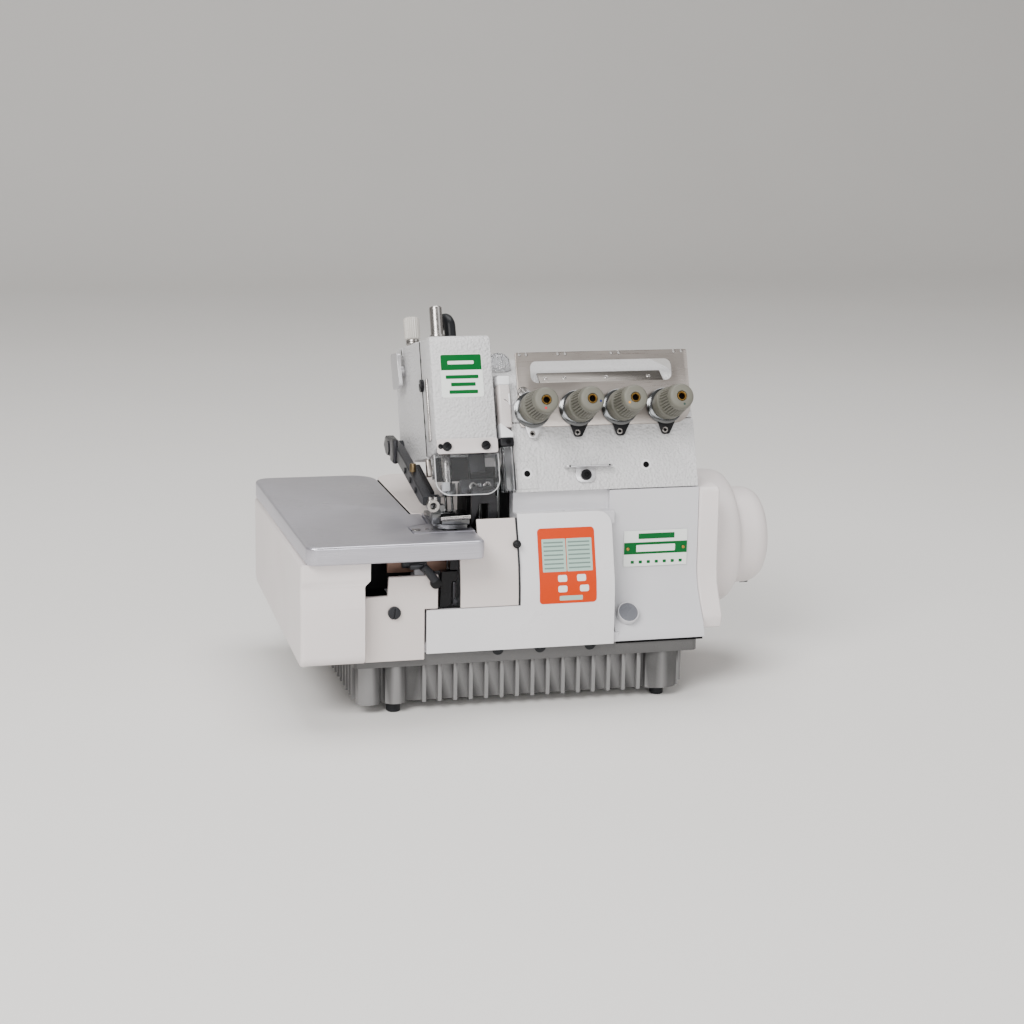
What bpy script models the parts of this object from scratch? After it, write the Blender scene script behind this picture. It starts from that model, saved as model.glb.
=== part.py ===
"""Overlock sewing machine with four thread tensions: a free-standing head on its ribbed base.

Machine coordinates are millimetres: X to the right, Y towards the back, Z up, rubber feet on Z = 0.
The arm, the sewing head, the tension plate and the needle bar all lean back by LEAN. They are drawn
in leaning coordinates (x, b, u): x as in the machine, b back and u up the lean, both measured from
the point where the needle meets the top of the needle plate.
"""
import math

import bmesh
import bpy
from mathutils import Matrix, Vector

MM = 0.001
GAP = 0.3                     # clearance between pieces that touch
PLAN_CENTRE = (144.25, 92.37)  # plan centre of the whole machine, the origin of the part
LEAN = math.radians(20.0)
NEEDLE_POINT = (0.0, 37.0, 130.0)
PLATE_TOP = 130.0             # sewing surface above the floor

# Base and bed
BASE_X = (0.0, 246.0)
BASE_Y = (0.5, 188.0)
BASE_Z = (7.3, 35.0)
FLANGE_TOP = 44.4
RIB_PITCH = 11.36
RIB_WIDTH = 2.6
RIB_DEPTH = 5.5
BED_X = (0.8, 257.2)
BED_Y_BACK = 186.0
BED_TOP = 151.7
CHAMBER_X = (50.0, 189.3)

# Arm and head
ARM_X = (119.6, 256.4)
ARM_FRONT_B = -22.7
ARM_BACK_Y = 170.0
ARM_SPLIT_Z = 199.3
ARM_TOP_Z = 231.0
HEAD_X = (62.3, 107.2)
COVER_B = (-29.0, 4.5)
COVER_WALL = 2.6

# Thread tensions
KNOB_X = (134.9, 168.4, 200.0, 234.3)
KNOB_U = 74.5
DISC_RADIUS = 13.2
KNOB_END_B = -67.5
PLATE_B = (-24.6, -23.1)

# Needle drive
NEEDLE_X = 75.0
BAR_RADIUS = 3.5
BORE_RADIUS = 3.9

# Drive side
DRIVE_Y = 95.0
DRIVE_Z = 97.0
MOTOR_RADIUS = 51.4
WHEEL_RADIUS = 36.8
ADAPTOR_RIGHT = 273.0
MOTOR_RIGHT = 302.5
WHEEL_RIGHT = 330.5

CLOTH_PIVOT = (-32.0, 191.0)

UPRIGHT = Matrix.Translation((-PLAN_CENTRE[0], -PLAN_CENTRE[1], 0.0))
LEANING = UPRIGHT @ Matrix.Translation(NEEDLE_POINT) @ Matrix.Rotation(-LEAN, 4, 'X')
AXIS_ORDER = {'X': (2, 0, 1), 'Y': (0, 2, 1), 'Z': (0, 1, 2)}

MATERIALS = {
    "cast_base": ((0.33, 0.34, 0.35), 0.55, 0.3),
    "machine_paint": ((0.74, 0.74, 0.75), 0.45, 0.0),
    "white_plastic": ((0.82, 0.80, 0.78), 0.4, 0.0),
    "cream_paint": ((0.78, 0.73, 0.68), 0.45, 0.0),
    "plate_steel": ((0.55, 0.56, 0.60), 0.3, 1.0),
    "bright_steel": ((0.72, 0.72, 0.72), 0.22, 1.0),
    "dark_steel": ((0.10, 0.10, 0.11), 0.35, 0.8),
    "knob_plastic": ((0.30, 0.29, 0.25), 0.5, 0.0),
    "black_rubber": ((0.03, 0.03, 0.03), 0.7, 0.0),
    "clear_plastic": ((0.80, 0.82, 0.84), 0.1, 0.0),
    "grey_plastic": ((0.42, 0.44, 0.47), 0.35, 0.0),
    "name_plate": ((0.85, 0.88, 0.85), 0.35, 0.0),
}


# ---------------------------------------------------------------------------- solids
def clear_scene():
    for obj in list(bpy.data.objects):
        bpy.data.objects.remove(obj, do_unlink=True)


def rounded(corners, radii, steps=4):
    """Outline through the corners, each corner replaced by an arc of its own radius."""
    points = []
    count = len(corners)
    for i, (corner, radius) in enumerate(zip(corners, radii)):
        here = Vector(corner)
        before = (Vector(corners[i - 1]) - here).normalized()
        after = (Vector(corners[(i + 1) % count]) - here).normalized()
        if radius <= 0.0:
            points.append(tuple(here))
            continue
        half = before.angle(after) / 2.0
        reach = radius / math.tan(half)
        centre = here + (before + after).normalized() * (radius / math.sin(half))
        start = here + before * reach - centre
        sweep = start.angle_signed(here + after * reach - centre)
        for step in range(steps + 1):
            turn = -sweep * step / steps
            spoke = Matrix.Rotation(turn, 2) @ start
            points.append(tuple(centre + spoke))
    return points


def rectangle(p_range, q_range, radius=0.0, steps=4):
    corners = [(p_range[0], q_range[0]), (p_range[1], q_range[0]),
               (p_range[1], q_range[1]), (p_range[0], q_range[1])]
    return rounded(corners, [radius] * 4, steps)


def new_object(name, mesh_data):
    mesh = bpy.data.meshes.new(name)
    mesh_data.to_mesh(mesh)
    mesh_data.free()
    obj = bpy.data.objects.new(name, mesh)
    bpy.context.scene.collection.objects.link(obj)
    return obj


def place(mesh_data, frame):
    """Move millimetre geometry to its place in the machine and turn it into metres."""
    bmesh.ops.transform(mesh_data, matrix=Matrix.Scale(MM, 4) @ frame, verts=mesh_data.verts)
    bmesh.ops.recalc_face_normals(mesh_data, faces=mesh_data.faces)


def prism(name, axis, outline, span, frame=UPRIGHT, bevel=0.0, bevel_steps=2):
    """Closed outline extruded along one axis; outlines are (y, z), (x, z) or (x, y) pairs."""
    order = AXIS_ORDER[axis]
    data = bmesh.new()
    rings = []
    for level in span:
        triples = [(p, q, level) for p, q in outline]
        rings.append([data.verts.new([t[order[0]], t[order[1]], t[order[2]]]) for t in triples])
    count = len(outline)
    data.faces.new(rings[0])
    data.faces.new(list(reversed(rings[1])))
    for i in range(count):
        j = (i + 1) % count
        data.faces.new([rings[0][i], rings[0][j], rings[1][j], rings[1][i]])
    if bevel > 0.0:
        bmesh.ops.recalc_face_normals(data, faces=data.faces)
        sharp = [e for e in data.edges if e.calc_face_angle_signed(0.0) > math.radians(35.0)]
        bmesh.ops.bevel(data, geom=sharp, offset=bevel, segments=bevel_steps, profile=0.5,
                        affect='EDGES', clamp_overlap=True)
    place(data, frame)
    return new_object(name, data)


def box(name, x_range, y_range, z_range, frame=UPRIGHT, bevel=0.0):
    return prism(name, 'Z', rectangle(x_range, y_range), z_range, frame, bevel)


def turned(name, profile, centre, axis, segments=24, frame=UPRIGHT):
    """Body of revolution: profile of (radius, height) from one end to the other along the axis."""
    spin = Vector((0.0, 0.0, 1.0)).rotation_difference(Vector(axis)).to_matrix().to_4x4()
    data = bmesh.new()
    rings = []
    for radius, height in profile:
        if radius <= 0.0:
            rings.append([data.verts.new((0.0, 0.0, height))])
            continue
        ring = []
        for k in range(segments):
            angle = 2.0 * math.pi * k / segments
            ring.append(data.verts.new((radius * math.cos(angle), radius * math.sin(angle), height)))
        rings.append(ring)
    for lower, upper in zip(rings, rings[1:]):
        for k in range(segments):
            n = (k + 1) % segments
            corners = [lower[k % len(lower)], lower[n % len(lower)],
                       upper[n % len(upper)], upper[k % len(upper)]]
            data.faces.new(list(dict.fromkeys(corners)))
    place(data, frame @ Matrix.Translation(centre) @ spin)
    return new_object(name, data)


def rod(name, start, axis, length, radius, segments=16, frame=UPRIGHT):
    profile = [(0.0, 0.0), (radius, 0.0), (radius, length), (0.0, length)]
    return turned(name, profile, start, axis, segments, frame)


def combine(body, others, operation):
    """Boolean the other solids into the body one by one and remove them."""
    for other in others:
        modifier = body.modifiers.new("combine", 'BOOLEAN')
        modifier.operation = operation
        modifier.solver = 'EXACT'
        modifier.object = other
        bpy.context.view_layer.objects.active = body
        bpy.context.view_layer.update()
        bpy.ops.object.modifier_apply(modifier=modifier.name)
        bpy.data.objects.remove(other, do_unlink=True)
    return body


def join(body, *others):
    return combine(body, others, 'UNION')


def cut(body, *others):
    return combine(body, others, 'DIFFERENCE')


def set_origin(obj, point, frame=UPRIGHT):
    """Put the object's origin on a point given in millimetres."""
    where = (Matrix.Scale(MM, 4) @ frame) @ Vector(point)
    obj.data.transform(Matrix.Translation(-where))
    obj.location = where


def finish(obj, slot):
    colour, roughness, metallic = MATERIALS[slot]
    material = bpy.data.materials.new(obj.name)
    material.use_nodes = True
    shader = material.node_tree.nodes["Principled BSDF"]
    shader.inputs["Base Color"].default_value = (*colour, 1.0)
    shader.inputs["Roughness"].default_value = roughness
    shader.inputs["Metallic"].default_value = metallic
    obj.data.materials.clear()
    obj.data.materials.append(material)
    return obj


# ---------------------------------------------------------------------------- base
def ribbed_wall(start, end, lugs):
    """Wall from start to end, stepping out to its right over each lug.

    A lug is (distance along the wall, half width, depth, steps); one step gives a square rib,
    more steps give a half-round column.
    """
    along = (Vector(end) - Vector(start)).normalized()
    out = Vector((along.y, -along.x))
    points = [tuple(start)]
    for centre, half_width, depth, steps in lugs:
        if steps == 1:
            shape = [(-half_width, 0.0), (-half_width, depth), (half_width, depth), (half_width, 0.0)]
        else:
            angles = [math.pi * step / steps for step in range(steps + 1)]
            shape = [(-half_width * math.cos(a), depth * math.sin(a)) for a in angles]
        for side, reach in shape:
            points.append(tuple(Vector(start) + along * (centre + side) + out * reach))
    return points


def rib_row(first, count):
    return [(first + RIB_PITCH * i, RIB_WIDTH / 2.0, RIB_DEPTH, 1) for i in range(count)]


def base_casting():
    """Ribbed oil-pan casting with a wide flange on top and half-round columns at its corners."""
    left, right = BASE_X[0] + RIB_DEPTH, BASE_X[1] - RIB_DEPTH
    front, back = BASE_Y[0] + RIB_DEPTH + 1.5, BASE_Y[1] - RIB_DEPTH
    width, depth = right - left, back - front
    column = RIB_DEPTH + 1.5
    front_lugs = [(4.5, 9.0, column, 6), (23.5, 8.5, column, 6)]
    front_lugs += rib_row(44.0, 15)
    front_lugs += [(220.5, 12.5, column, 8)]
    outline = ribbed_wall((left, front), (right, front), front_lugs)
    outline += ribbed_wall((right, front), (right, back), rib_row(12.0, 14))
    outline += ribbed_wall((right, back), (left, back), rib_row(width - 44.0 - 14 * RIB_PITCH, 15))
    outline += ribbed_wall((left, back), (left, front), rib_row(depth - 12.0 - 13 * RIB_PITCH, 14))
    body = prism("base_casting", 'Z', outline, (BASE_Z[0], BASE_Z[1] + 2.0))
    flange = prism("flange", 'Z', rectangle((-2.0, 252.5), (-0.5, 190.0), 5.0, 3),
                   (BASE_Z[1], FLANGE_TOP))
    return finish(join(body, flange), "cast_base")


def rubber_feet():
    places = ((28.5, 9.5), (226.0, 13.0), (28.5, 178.0), (226.0, 178.0))
    profile = [(0.0, 0.0), (4.6, 0.0), (5.2, 1.0), (5.2, BASE_Z[0] - GAP), (0.0, BASE_Z[0] - GAP)]
    for number, (x, y) in enumerate(places, start=1):
        foot = turned(f"rubber_foot_{number}", profile, (x, y, 0.0), (0, 0, 1), 12)
        finish(foot, "black_rubber")


# ---------------------------------------------------------------------------- bed
def bed_casting():
    """Main casting: gear case at the right, looper chamber behind the cover, shelf on the left."""
    z0 = FLANGE_TOP + GAP
    flare = [(-1.4, z0), (-1.4, 49.0), (1.0, 54.0), (6.0, 61.0), (12.0, 69.0), (17.0, 78.0),
             (20.0, 86.0), (21.0, 92.0), (21.0, BED_TOP), (176.0, BED_TOP), (BED_Y_BACK, 140.0),
             (BED_Y_BACK, z0)]
    body = prism("bed_casting", 'X', flare, (CHAMBER_X[1], BED_X[1]))
    floor = box("floor", (3.0, 192.0), (-1.4, 60.0), (z0, 52.0))
    middle = prism("middle", 'X',
                   [(45.0, z0), (45.0, 128.0), (16.5, 128.0), (16.5, 137.5), (26.0, 137.5),
                    (26.0, BED_TOP), (176.0, BED_TOP), (BED_Y_BACK, 140.0), (BED_Y_BACK, z0)],
                   (118.7, 192.0))
    left = box("left", (BED_X[0], 60.0), (62.0, BED_Y_BACK), (z0, 116.4))
    shelf = box("shelf", (52.6, 121.0), (68.0, BED_Y_BACK), (z0, PLATE_TOP - 8.0 - GAP))
    corner = box("corner", (BED_X[0] + 5.0, 47.5), (-1.4, 24.0), (z0, 86.0))
    pillar = box("pillar", (43.0, 50.0), (7.0, 21.0), (z0, 125.5))
    wall = box("wall", (BED_X[0], 6.5), (22.0, 66.0), (z0, 86.0))
    join(body, middle, floor, shelf, left, corner, wall, pillar)
    return finish(body, "machine_paint")


def bed_plate():
    corners = [(52.7, 67.0), (118.4, 67.0), (118.4, 210.0), (52.7, 210.0)]
    plate = prism("bed_plate", 'Z', rounded(corners, [2.0, 0.0, 4.0, 18.0]),
                  (PLATE_TOP - 8.0, PLATE_TOP), bevel=0.8, bevel_steps=1)
    return finish(plate, "cream_paint")


def needle_plate():
    corners = [(42.4, 5.4), (86.0, 5.4), (86.0, 66.6), (60.6, 66.6), (58.6, 32.7), (42.4, 23.5)]
    plate = prism("needle_plate", 'Z', corners, (PLATE_TOP - 4.2, PLATE_TOP))
    stitch_slot = box("slot", (69.0, 81.5), (31.0, 40.5), (120.0, 135.0))
    feed_slot = box("feed", (68.0, 82.5), (42.0, 60.0), (120.0, 135.0))
    screw_hole = rod("hole", (55.0, 15.0, 120.0), (0, 0, 1), 20.0, 2.0, 10)
    return finish(cut(plate, stitch_slot, feed_slot, screw_hole), "bright_steel")


def feed_dog():
    """Toothed block that rises through the long slot behind the needles."""
    teeth = []
    count = 7
    for i in range(count):
        y = 44.0 + 2.0 * i
        teeth += [(y, PLATE_TOP - 0.6), (y + 1.2, PLATE_TOP + 0.5)]
    outline = [(44.0, 118.0)] + teeth + [(58.0, PLATE_TOP - 0.6), (58.0, 118.0)]
    return finish(prism("feed_dog", 'X', outline, (69.2, 81.3)), "bright_steel")


def lower_knife():
    blade = box("lower_knife", (83.6, 86.0), (10.0, 24.0), (104.0, PLATE_TOP - 4.6))
    return finish(blade, "bright_steel")


def front_panel():
    outline = [(5.5, 40.5), (48.0, 40.5), (48.0, 77.2), (57.5, 77.2), (57.5, 101.5), (22.3, 101.5),
               (21.5, 88.0), (5.5, 87.6)]
    panel = prism("front_panel", 'Y', outline, (-5.0, -1.8), bevel=0.5, bevel_steps=1)
    finish(panel, "cream_paint")
    head = [(0.0, 0.0), (3.7, 0.0), (3.7, 1.4), (2.9, 2.2), (0.0, 2.2)]
    screw = turned("panel_screw", head, (26.0, -5.0 - GAP, 76.0), (0, -1, 0), 12)
    finish(screw, "dark_steel")


def name_plate():
    plate = box("name_plate", (200.6, 248.8), (20.0, 21.0 - GAP), (94.5, 121.0))
    return finish(plate, "name_plate")


# ---------------------------------------------------------------------------- arm and head
def lean_to_world(b, u):
    y = NEEDLE_POINT[1] + b * math.cos(LEAN) + u * math.sin(LEAN)
    z = NEEDLE_POINT[2] - b * math.sin(LEAN) + u * math.cos(LEAN)
    return (y, z)


def arm_casting():
    """Leaning arm block with the neck that carries the sewing head at its left end."""
    low = lean_to_world(ARM_FRONT_B, 15.9)
    slope = math.tan(LEAN)
    top_front = (low[0] + (ARM_SPLIT_Z - low[1]) * slope, ARM_SPLIT_Z)
    outline = [(low[0], BED_TOP + 0.9), top_front, (ARM_BACK_Y, ARM_SPLIT_Z),
               (ARM_BACK_Y, BED_TOP + 0.9)]
    body = prism("arm_casting", 'X', outline, ARM_X)
    neck = prism("neck", 'X', rectangle((72.0, 160.0), (168.0, 197.0)), (HEAD_X[1] + 0.4, 124.0))
    pad = prism("pad", 'Z', rectangle((121.0, 136.0), (ARM_FRONT_B - 0.7, -15.0)), (18.0, 38.0),
                LEANING)
    return finish(join(body, neck, pad), "machine_paint")


def arm_top_cover():
    low = lean_to_world(ARM_FRONT_B, 0.0)
    slope = math.tan(LEAN)
    y0 = low[0] + (ARM_SPLIT_Z - low[1]) * slope
    outline = [(y0 + 0.2, ARM_SPLIT_Z + GAP), (44.0, 214.5), (48.5, 221.5), (56.0, 227.0),
               (66.0, 230.0), (76.0, ARM_TOP_Z), (130.0, ARM_TOP_Z), (150.0, 227.0), (162.0, 218.0),
               (ARM_BACK_Y - 1.0, ARM_SPLIT_Z + GAP)]
    body = prism("arm_top_cover", 'X', outline, (HEAD_X[1] + 2.5, ARM_X[1] - 0.2))
    left_cut = box("left_cut", (90.0, ARM_X[0] + 0.5), (20.0, 66.0), (190.0, 240.0))
    taper = prism("taper", 'Y', [(ARM_X[1] - 0.1, 203.0), (ARM_X[1] - 9.0, 240.0),
                                 (ARM_X[1] + 8.0, 240.0), (ARM_X[1] + 8.0, 203.0)], (20.0, 200.0))
    return finish(cut(body, left_cut, taper), "machine_paint")


def oil_window():
    profile = [(0.0, 0.0), (9.0, 0.0), (9.0, 4.0), (8.0, 8.5), (5.0, 11.5), (0.0, 12.5)]
    dome = turned("oil_window", profile, (120.5, 82.0, ARM_TOP_Z + GAP), (0, 0, 1), 16)
    return finish(dome, "clear_plastic")


def head_casting():
    """Rear part of the leaning sewing head, with two bosses that guide the needle bar."""
    outline = [(4.8, 46.0), (22.0, 47.0), (58.0, 52.0), (93.0, 59.0), (98.0, 66.0), (95.0, 138.0),
               (90.0, 143.8), (4.8, 132.8)]
    body = prism("head_casting", 'X', outline, HEAD_X, LEANING, bevel=1.2, bevel_steps=1)
    for low, high in ((52.0, 64.0), (108.0, 122.0)):
        boss = box("boss", (NEEDLE_X - 8.0, NEEDLE_X + 8.0), (-7.5, 8.0), (low, high), LEANING)
        join(body, boss)
    bore = rod("bore", (NEEDLE_X, 0.0, 20.0), (0, 0, 1), 120.0, BORE_RADIUS, 16, LEANING)
    screw_seat = rod("seat", (HEAD_X[0] - 5.0, 84.0, 138.0), (1, 0, 0), 8.0, 2.4, 10, LEANING)
    return finish(cut(body, bore, screw_seat), "machine_paint")


def face_cover():
    """Hollow cover over the needle drive, open behind and below."""
    b0, b1 = COVER_B
    outline = rounded([(b0, 49.0), (b0, 129.3), (b1, 132.6), (b1, 46.2), (-20.0, 46.2)],
                      [0.0, 5.0, 0.0, 0.0, 0.0])
    body = prism("face_cover", 'X', outline, HEAD_X, LEANING, bevel=2.0)
    inner = [(b0 + COVER_WALL, 40.0), (b0 + COVER_WALL, 126.0), (b1 + 6.0, 129.0), (b1 + 6.0, 40.0)]
    hollow = prism("hollow", 'X', inner, (HEAD_X[0] + COVER_WALL, HEAD_X[1] - COVER_WALL), LEANING)
    hole = rod("hole", (NEEDLE_X, 0.0, 110.0), (0, 0, 1), 40.0, BORE_RADIUS, 16, LEANING)
    return finish(cut(body, hollow, hole), "machine_paint")


def needle_bar_guard():
    """Thin tube standing on the face cover round the top end of the needle bar."""
    profile = [(0.0, 22.6), (4.0, 22.6), (4.6, 21.8), (4.6, 1.6), (5.6, 1.6), (5.6, 0.0),
               (BORE_RADIUS, 0.0), (BORE_RADIUS, 21.4), (0.0, 21.4)]
    tube = turned("needle_bar_guard", profile, (NEEDLE_X, 0.0, 134.0), (0, 0, 1), 16, LEANING)
    return finish(tube, "bright_steel")


def oil_elbow():
    """Black rubber oil pipe that bends over behind the needle-bar guard."""
    upright = rod("oil_elbow", (87.5, 12.0, 135.0), (0, 0, 1), 12.0, 4.2, 12, LEANING)
    bend = turned("bend", [(0.0, -5.5), (3.6, -4.0), (5.4, 0.0), (3.6, 4.0), (0.0, 5.5)],
                  (87.5, 12.0, 147.0), (1, 0, 0), 12, LEANING)
    tail = rod("tail", (87.5, 12.0, 147.2), (-0.5, 0.85, -0.12), 16.0, 3.4, 12, LEANING)
    return finish(join(upright, bend, tail), "black_rubber")


def lifter_lever():
    plate = prism("lifter_lever", 'X', rounded([(52.0, 108.0), (76.0, 110.0), (78.0, 138.0),
                                                (54.0, 134.0)], [3.0] * 4, 2),
                  (HEAD_X[0] - 7.0, HEAD_X[0] - 4.0), LEANING)
    pin = rod("pin", (HEAD_X[0] - 5.0, 64.0, 122.0), (1, 0, 0), 5.0 - GAP, 4.0, 12, LEANING)
    return finish(join(plate, pin), "bright_steel")


def pressure_screw():
    """Presser-foot pressure screw with a knurled cap, standing on the head."""
    profile = [(0.0, 0.0), (4.4, 0.0), (4.4, 3.6), (6.0, 3.8), (6.0, 19.5), (5.2, 20.6), (0.0, 20.6)]
    screw = turned("pressure_screw", profile, (69.0, 58.0, 140.7), (0, 0, 1), 16, LEANING)
    return finish(screw, "clear_plastic")


# ---------------------------------------------------------------------------- eye guard, threads
def guard_bracket():
    strip = prism("guard_bracket", 'Y', rectangle((62.6, 106.8), (44.0, 54.8), 1.6, 2),
                  (-31.0, COVER_B[0] - GAP), LEANING)
    return finish(strip, "clear_plastic")


def eye_guard():
    """Clear shield over the needles, hinged under its bracket."""
    front = prism("eye_guard", 'Y', rounded([(59.4, 43.2), (59.4, 14.0), (106.2, 14.0),
                                             (106.2, 43.2)], [0.6, 11.0, 11.0, 0.6]),
                  (-32.9, -31.3), LEANING)
    left = box("left", (59.4, 60.9), (-32.0, -22.0), (27.0, 42.6), LEANING)
    right = box("right", (104.7, 106.2), (-32.0, -22.0), (27.0, 42.6), LEANING)
    return finish(join(front, left, right), "clear_plastic")


def thread_pipes():
    """Upright thread channel, its black clamp and the clear tube right of the head."""
    span_b = (-28.0, -17.5)
    channel = box("thread_channel", (110.4, 119.3), span_b, (55.0, 99.0), LEANING, bevel=0.6)
    finish(channel, "white_plastic")
    clamp = box("thread_clamp", (109.6, 119.3), (-28.4, -16.0), (48.7, 54.7), LEANING)
    finish(clamp, "dark_steel")
    tube = box("thread_tube", (109.8, 119.3), span_b, (16.6, 48.4), LEANING, bevel=0.8)
    finish(tube, "clear_plastic")


def tension_plate():
    """Stainless plate with a window, its bottom edge folded back as a thread ledge."""
    corners = [(125.5, 62.2), (255.0, 62.2), (255.0, 116.7), (125.5, 116.7)]
    body = prism("tension_plate", 'Y', rounded(corners, [3.0, 14.0, 1.5, 1.5]), PLATE_B, LEANING)
    window = prism("window", 'Y', rectangle((136.0, 242.5), (94.2, 110.2), 5.0, 3), (-30.0, -20.0),
                   LEANING)
    cut(body, window)
    front, back = PLATE_B
    ledge = prism("ledge", 'X', [(front + 0.2, 93.2), (back - 0.1, 92.2), (-14.2, 102.2),
                                 (-15.2, 103.2)], (143.0, 236.0), LEANING)
    return finish(join(body, ledge), "bright_steel")


def tension_discs(number, x):
    """Pair of thread discs on their post, with the three-cornered thread guide under them."""
    top = PLATE_B[0] - GAP
    profile = [(0.0, 0.0), (11.0, 0.0), (DISC_RADIUS, 0.6), (10.6, 2.2), (DISC_RADIUS, 3.8),
               (11.0, 4.4), (0.0, 4.4)]
    discs = turned(f"tension_discs_{number}", profile, (x, top, KNOB_U), (0, -1, 0), 24, LEANING)
    guide = prism("guide", 'Y', rounded([(x - 7.5, KNOB_U - 6.0), (x - 3.5, KNOB_U - 20.5),
                                         (x + 2.0, KNOB_U - 20.5), (x + 9.0, KNOB_U - 8.0)],
                                        [0.0, 2.4, 2.4, 0.0], 3),
                  (top - 1.5, top - 0.3), LEANING)
    return finish(join(discs, guide), "bright_steel")


def tension_knob(number, x):
    """Tapered tension nut with a bush in its outer end."""
    start = PLATE_B[0] - 2.0 * GAP - 4.4
    length = start - KNOB_END_B
    profile = [(0.0, 0.0), (10.2, 0.0), (10.2, 3.6), (11.3, 4.6), (11.3, 14.0), (9.2, 14.6),
               (9.2, 16.8), (10.7, 17.6), (9.7, length - 5.0), (8.6, length - 0.8), (7.6, length),
               (3.2, length), (3.2, length - 5.0), (0.0, length - 5.0)]
    knob = turned(f"tension_knob_{number}", profile, (x, start, KNOB_U), (0, -1, 0), 24, LEANING)
    set_origin(knob, (x, start, KNOB_U), LEANING)
    return finish(knob, "knob_plastic")


def guide_bracket():
    """Bent wire-thin thread guide screwed to the front of the arm."""
    face = ARM_FRONT_B - GAP
    tab = prism("guide_bracket", 'Y', rounded([(165.0, 22.0), (178.0, 22.0), (178.0, 33.0),
                                               (165.0, 33.0)], [3.0, 3.0, 0.0, 0.0], 3),
                (face - 1.2, face), LEANING)
    wing = box("wing", (156.0, 191.0), (face - 7.0, face), (31.8, 33.0), LEANING)
    screw = turned("screw", [(0.0, 0.0), (3.6, 0.0), (3.6, 2.4), (3.0, 3.0), (0.0, 3.0)],
                   (171.5, face - 0.6, 26.6), (0, -1, 0), 12, LEANING)
    return finish(join(tab, wing, screw), "bright_steel")


# ---------------------------------------------------------------------------- needles and loopers
def needle_bar():
    bar = rod("needle_bar", (NEEDLE_X, 0.0, 27.0), (0, 0, 1), 110.0, BAR_RADIUS, 16, LEANING)
    set_origin(bar, (NEEDLE_X, 0.0, 27.0), LEANING)
    return finish(bar, "bright_steel")


def needle_clamp():
    """Clamp block on the bar's lower end with its two needles and set screws."""
    block = box("needle_clamp", (70.5, 80.0), (-4.6, 4.6), (18.0, 26.7), LEANING, bevel=0.5)
    for x in (73.0, 77.6):
        shank = rod("shank", (x, 0.0, 6.0), (0, 0, 1), 13.0, 0.95, 8, LEANING)
        blade = turned("blade", [(0.0, -4.0), (0.55, -2.0), (0.7, 0.0), (0.7, 7.0), (0.0, 7.0)],
                       (x, 0.0, 0.0), (0, 0, 1), 8, LEANING)
        screw = rod("set_screw", (x, -4.0, 22.0), (0, -1, 0), 3.6, 1.6, 10, LEANING)
        join(block, shank, blade, screw)
    set_origin(block, (NEEDLE_X, 0.0, 27.0), LEANING)
    return finish(block, "bright_steel")


def looper(name, pivot, tip, blade, shaft_length):
    """Looper arm on its rocking shaft: a tapered arm up to the blade, the blade pointing sideways."""
    (px, py, pz), (tx, tz), (bx, bz) = pivot, tip, blade
    hub = rod(name, (px, py, pz), (0, 1, 0), shaft_length, 6.0, 14)
    arm = prism("arm", 'Y', [(px - 4.0, pz), (px + 4.0, pz), (tx + 2.6, tz), (tx - 2.6, tz + 3.0)],
                (py + 1.0, py + 6.0))
    tongue = prism("tongue", 'Y', [(tx - 2.4, tz - 3.0), (tx + 2.4, tz - 3.0), (bx, bz)],
                   (py + 2.2, py + 4.6))
    body = join(hub, arm, tongue)
    set_origin(body, pivot)
    return finish(body, "bright_steel")


def upper_knife():
    """Moving trimming blade on its angled holder."""
    blade = prism("upper_knife", 'Y', [(86.4, 131.0), (89.5, 137.0), (94.5, 158.0), (86.4, 158.0)],
                  (18.0, 21.0))
    holder = box("holder", (90.0, 104.0), (19.0, 29.0), (146.0, 156.5))
    guide = box("guide", (99.5, 106.0), (22.0, 29.0), (119.0, 150.0))
    body = join(blade, holder, guide)
    set_origin(body, (90.0, 19.5, 150.0))
    return finish(body, "bright_steel")


# ---------------------------------------------------------------------------- presser
def presser_arm():
    """Long lever from its pivot behind the head down to the presser foot."""
    outline = [(15.0, 147.0), (26.0, 146.5), (80.0, 155.5), (108.0, 160.0), (150.0, 158.0),
               (158.0, 164.0), (152.0, 172.0), (112.0, 171.0), (80.0, 166.0), (28.0, 156.0),
               (15.0, 153.0)]
    arm = prism("presser_arm", 'X', outline, (50.5, 57.5), bevel=0.8, bevel_steps=1)
    pin_start = 49.6
    pin = rod("pin", (pin_start, 140.0, 164.5), (1, 0, 0), HEAD_X[0] - GAP - pin_start, 5.5, 14)
    toe = box("toe", (56.0, 63.5), (15.0, 24.0), (147.0, 153.0), bevel=0.5)
    body = join(arm, pin, toe)
    set_origin(body, (50.0, 140.0, 164.5))
    return finish(body, "dark_steel")


def presser_foot():
    """Foot sole with a needle slot, held under the lever by its short shank."""
    sole = prism("presser_foot", 'Z', rounded([(60.0, 12.0), (68.0, 8.0), (81.0, 8.0), (84.0, 14.0),
                                               (84.0, 58.0), (60.0, 58.0)], [2.0] * 6, 2),
                 (PLATE_TOP + 1.0, PLATE_TOP + 4.0))
    slot = box("slot", (70.0, 81.0), (29.0, 43.0), (125.0, 140.0))
    cut(sole, slot)
    shank = box("shank", (58.0, 66.5), (16.0, 22.0), (PLATE_TOP + 2.0, 146.6))
    hub = box("hub", (58.0, 69.0), (14.0, 26.0), (PLATE_TOP + 2.0, 142.0), bevel=0.5)
    body = join(sole, hub, shank)
    set_origin(body, (62.0, 19.0, 146.7))
    return finish(body, "bright_steel")


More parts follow.
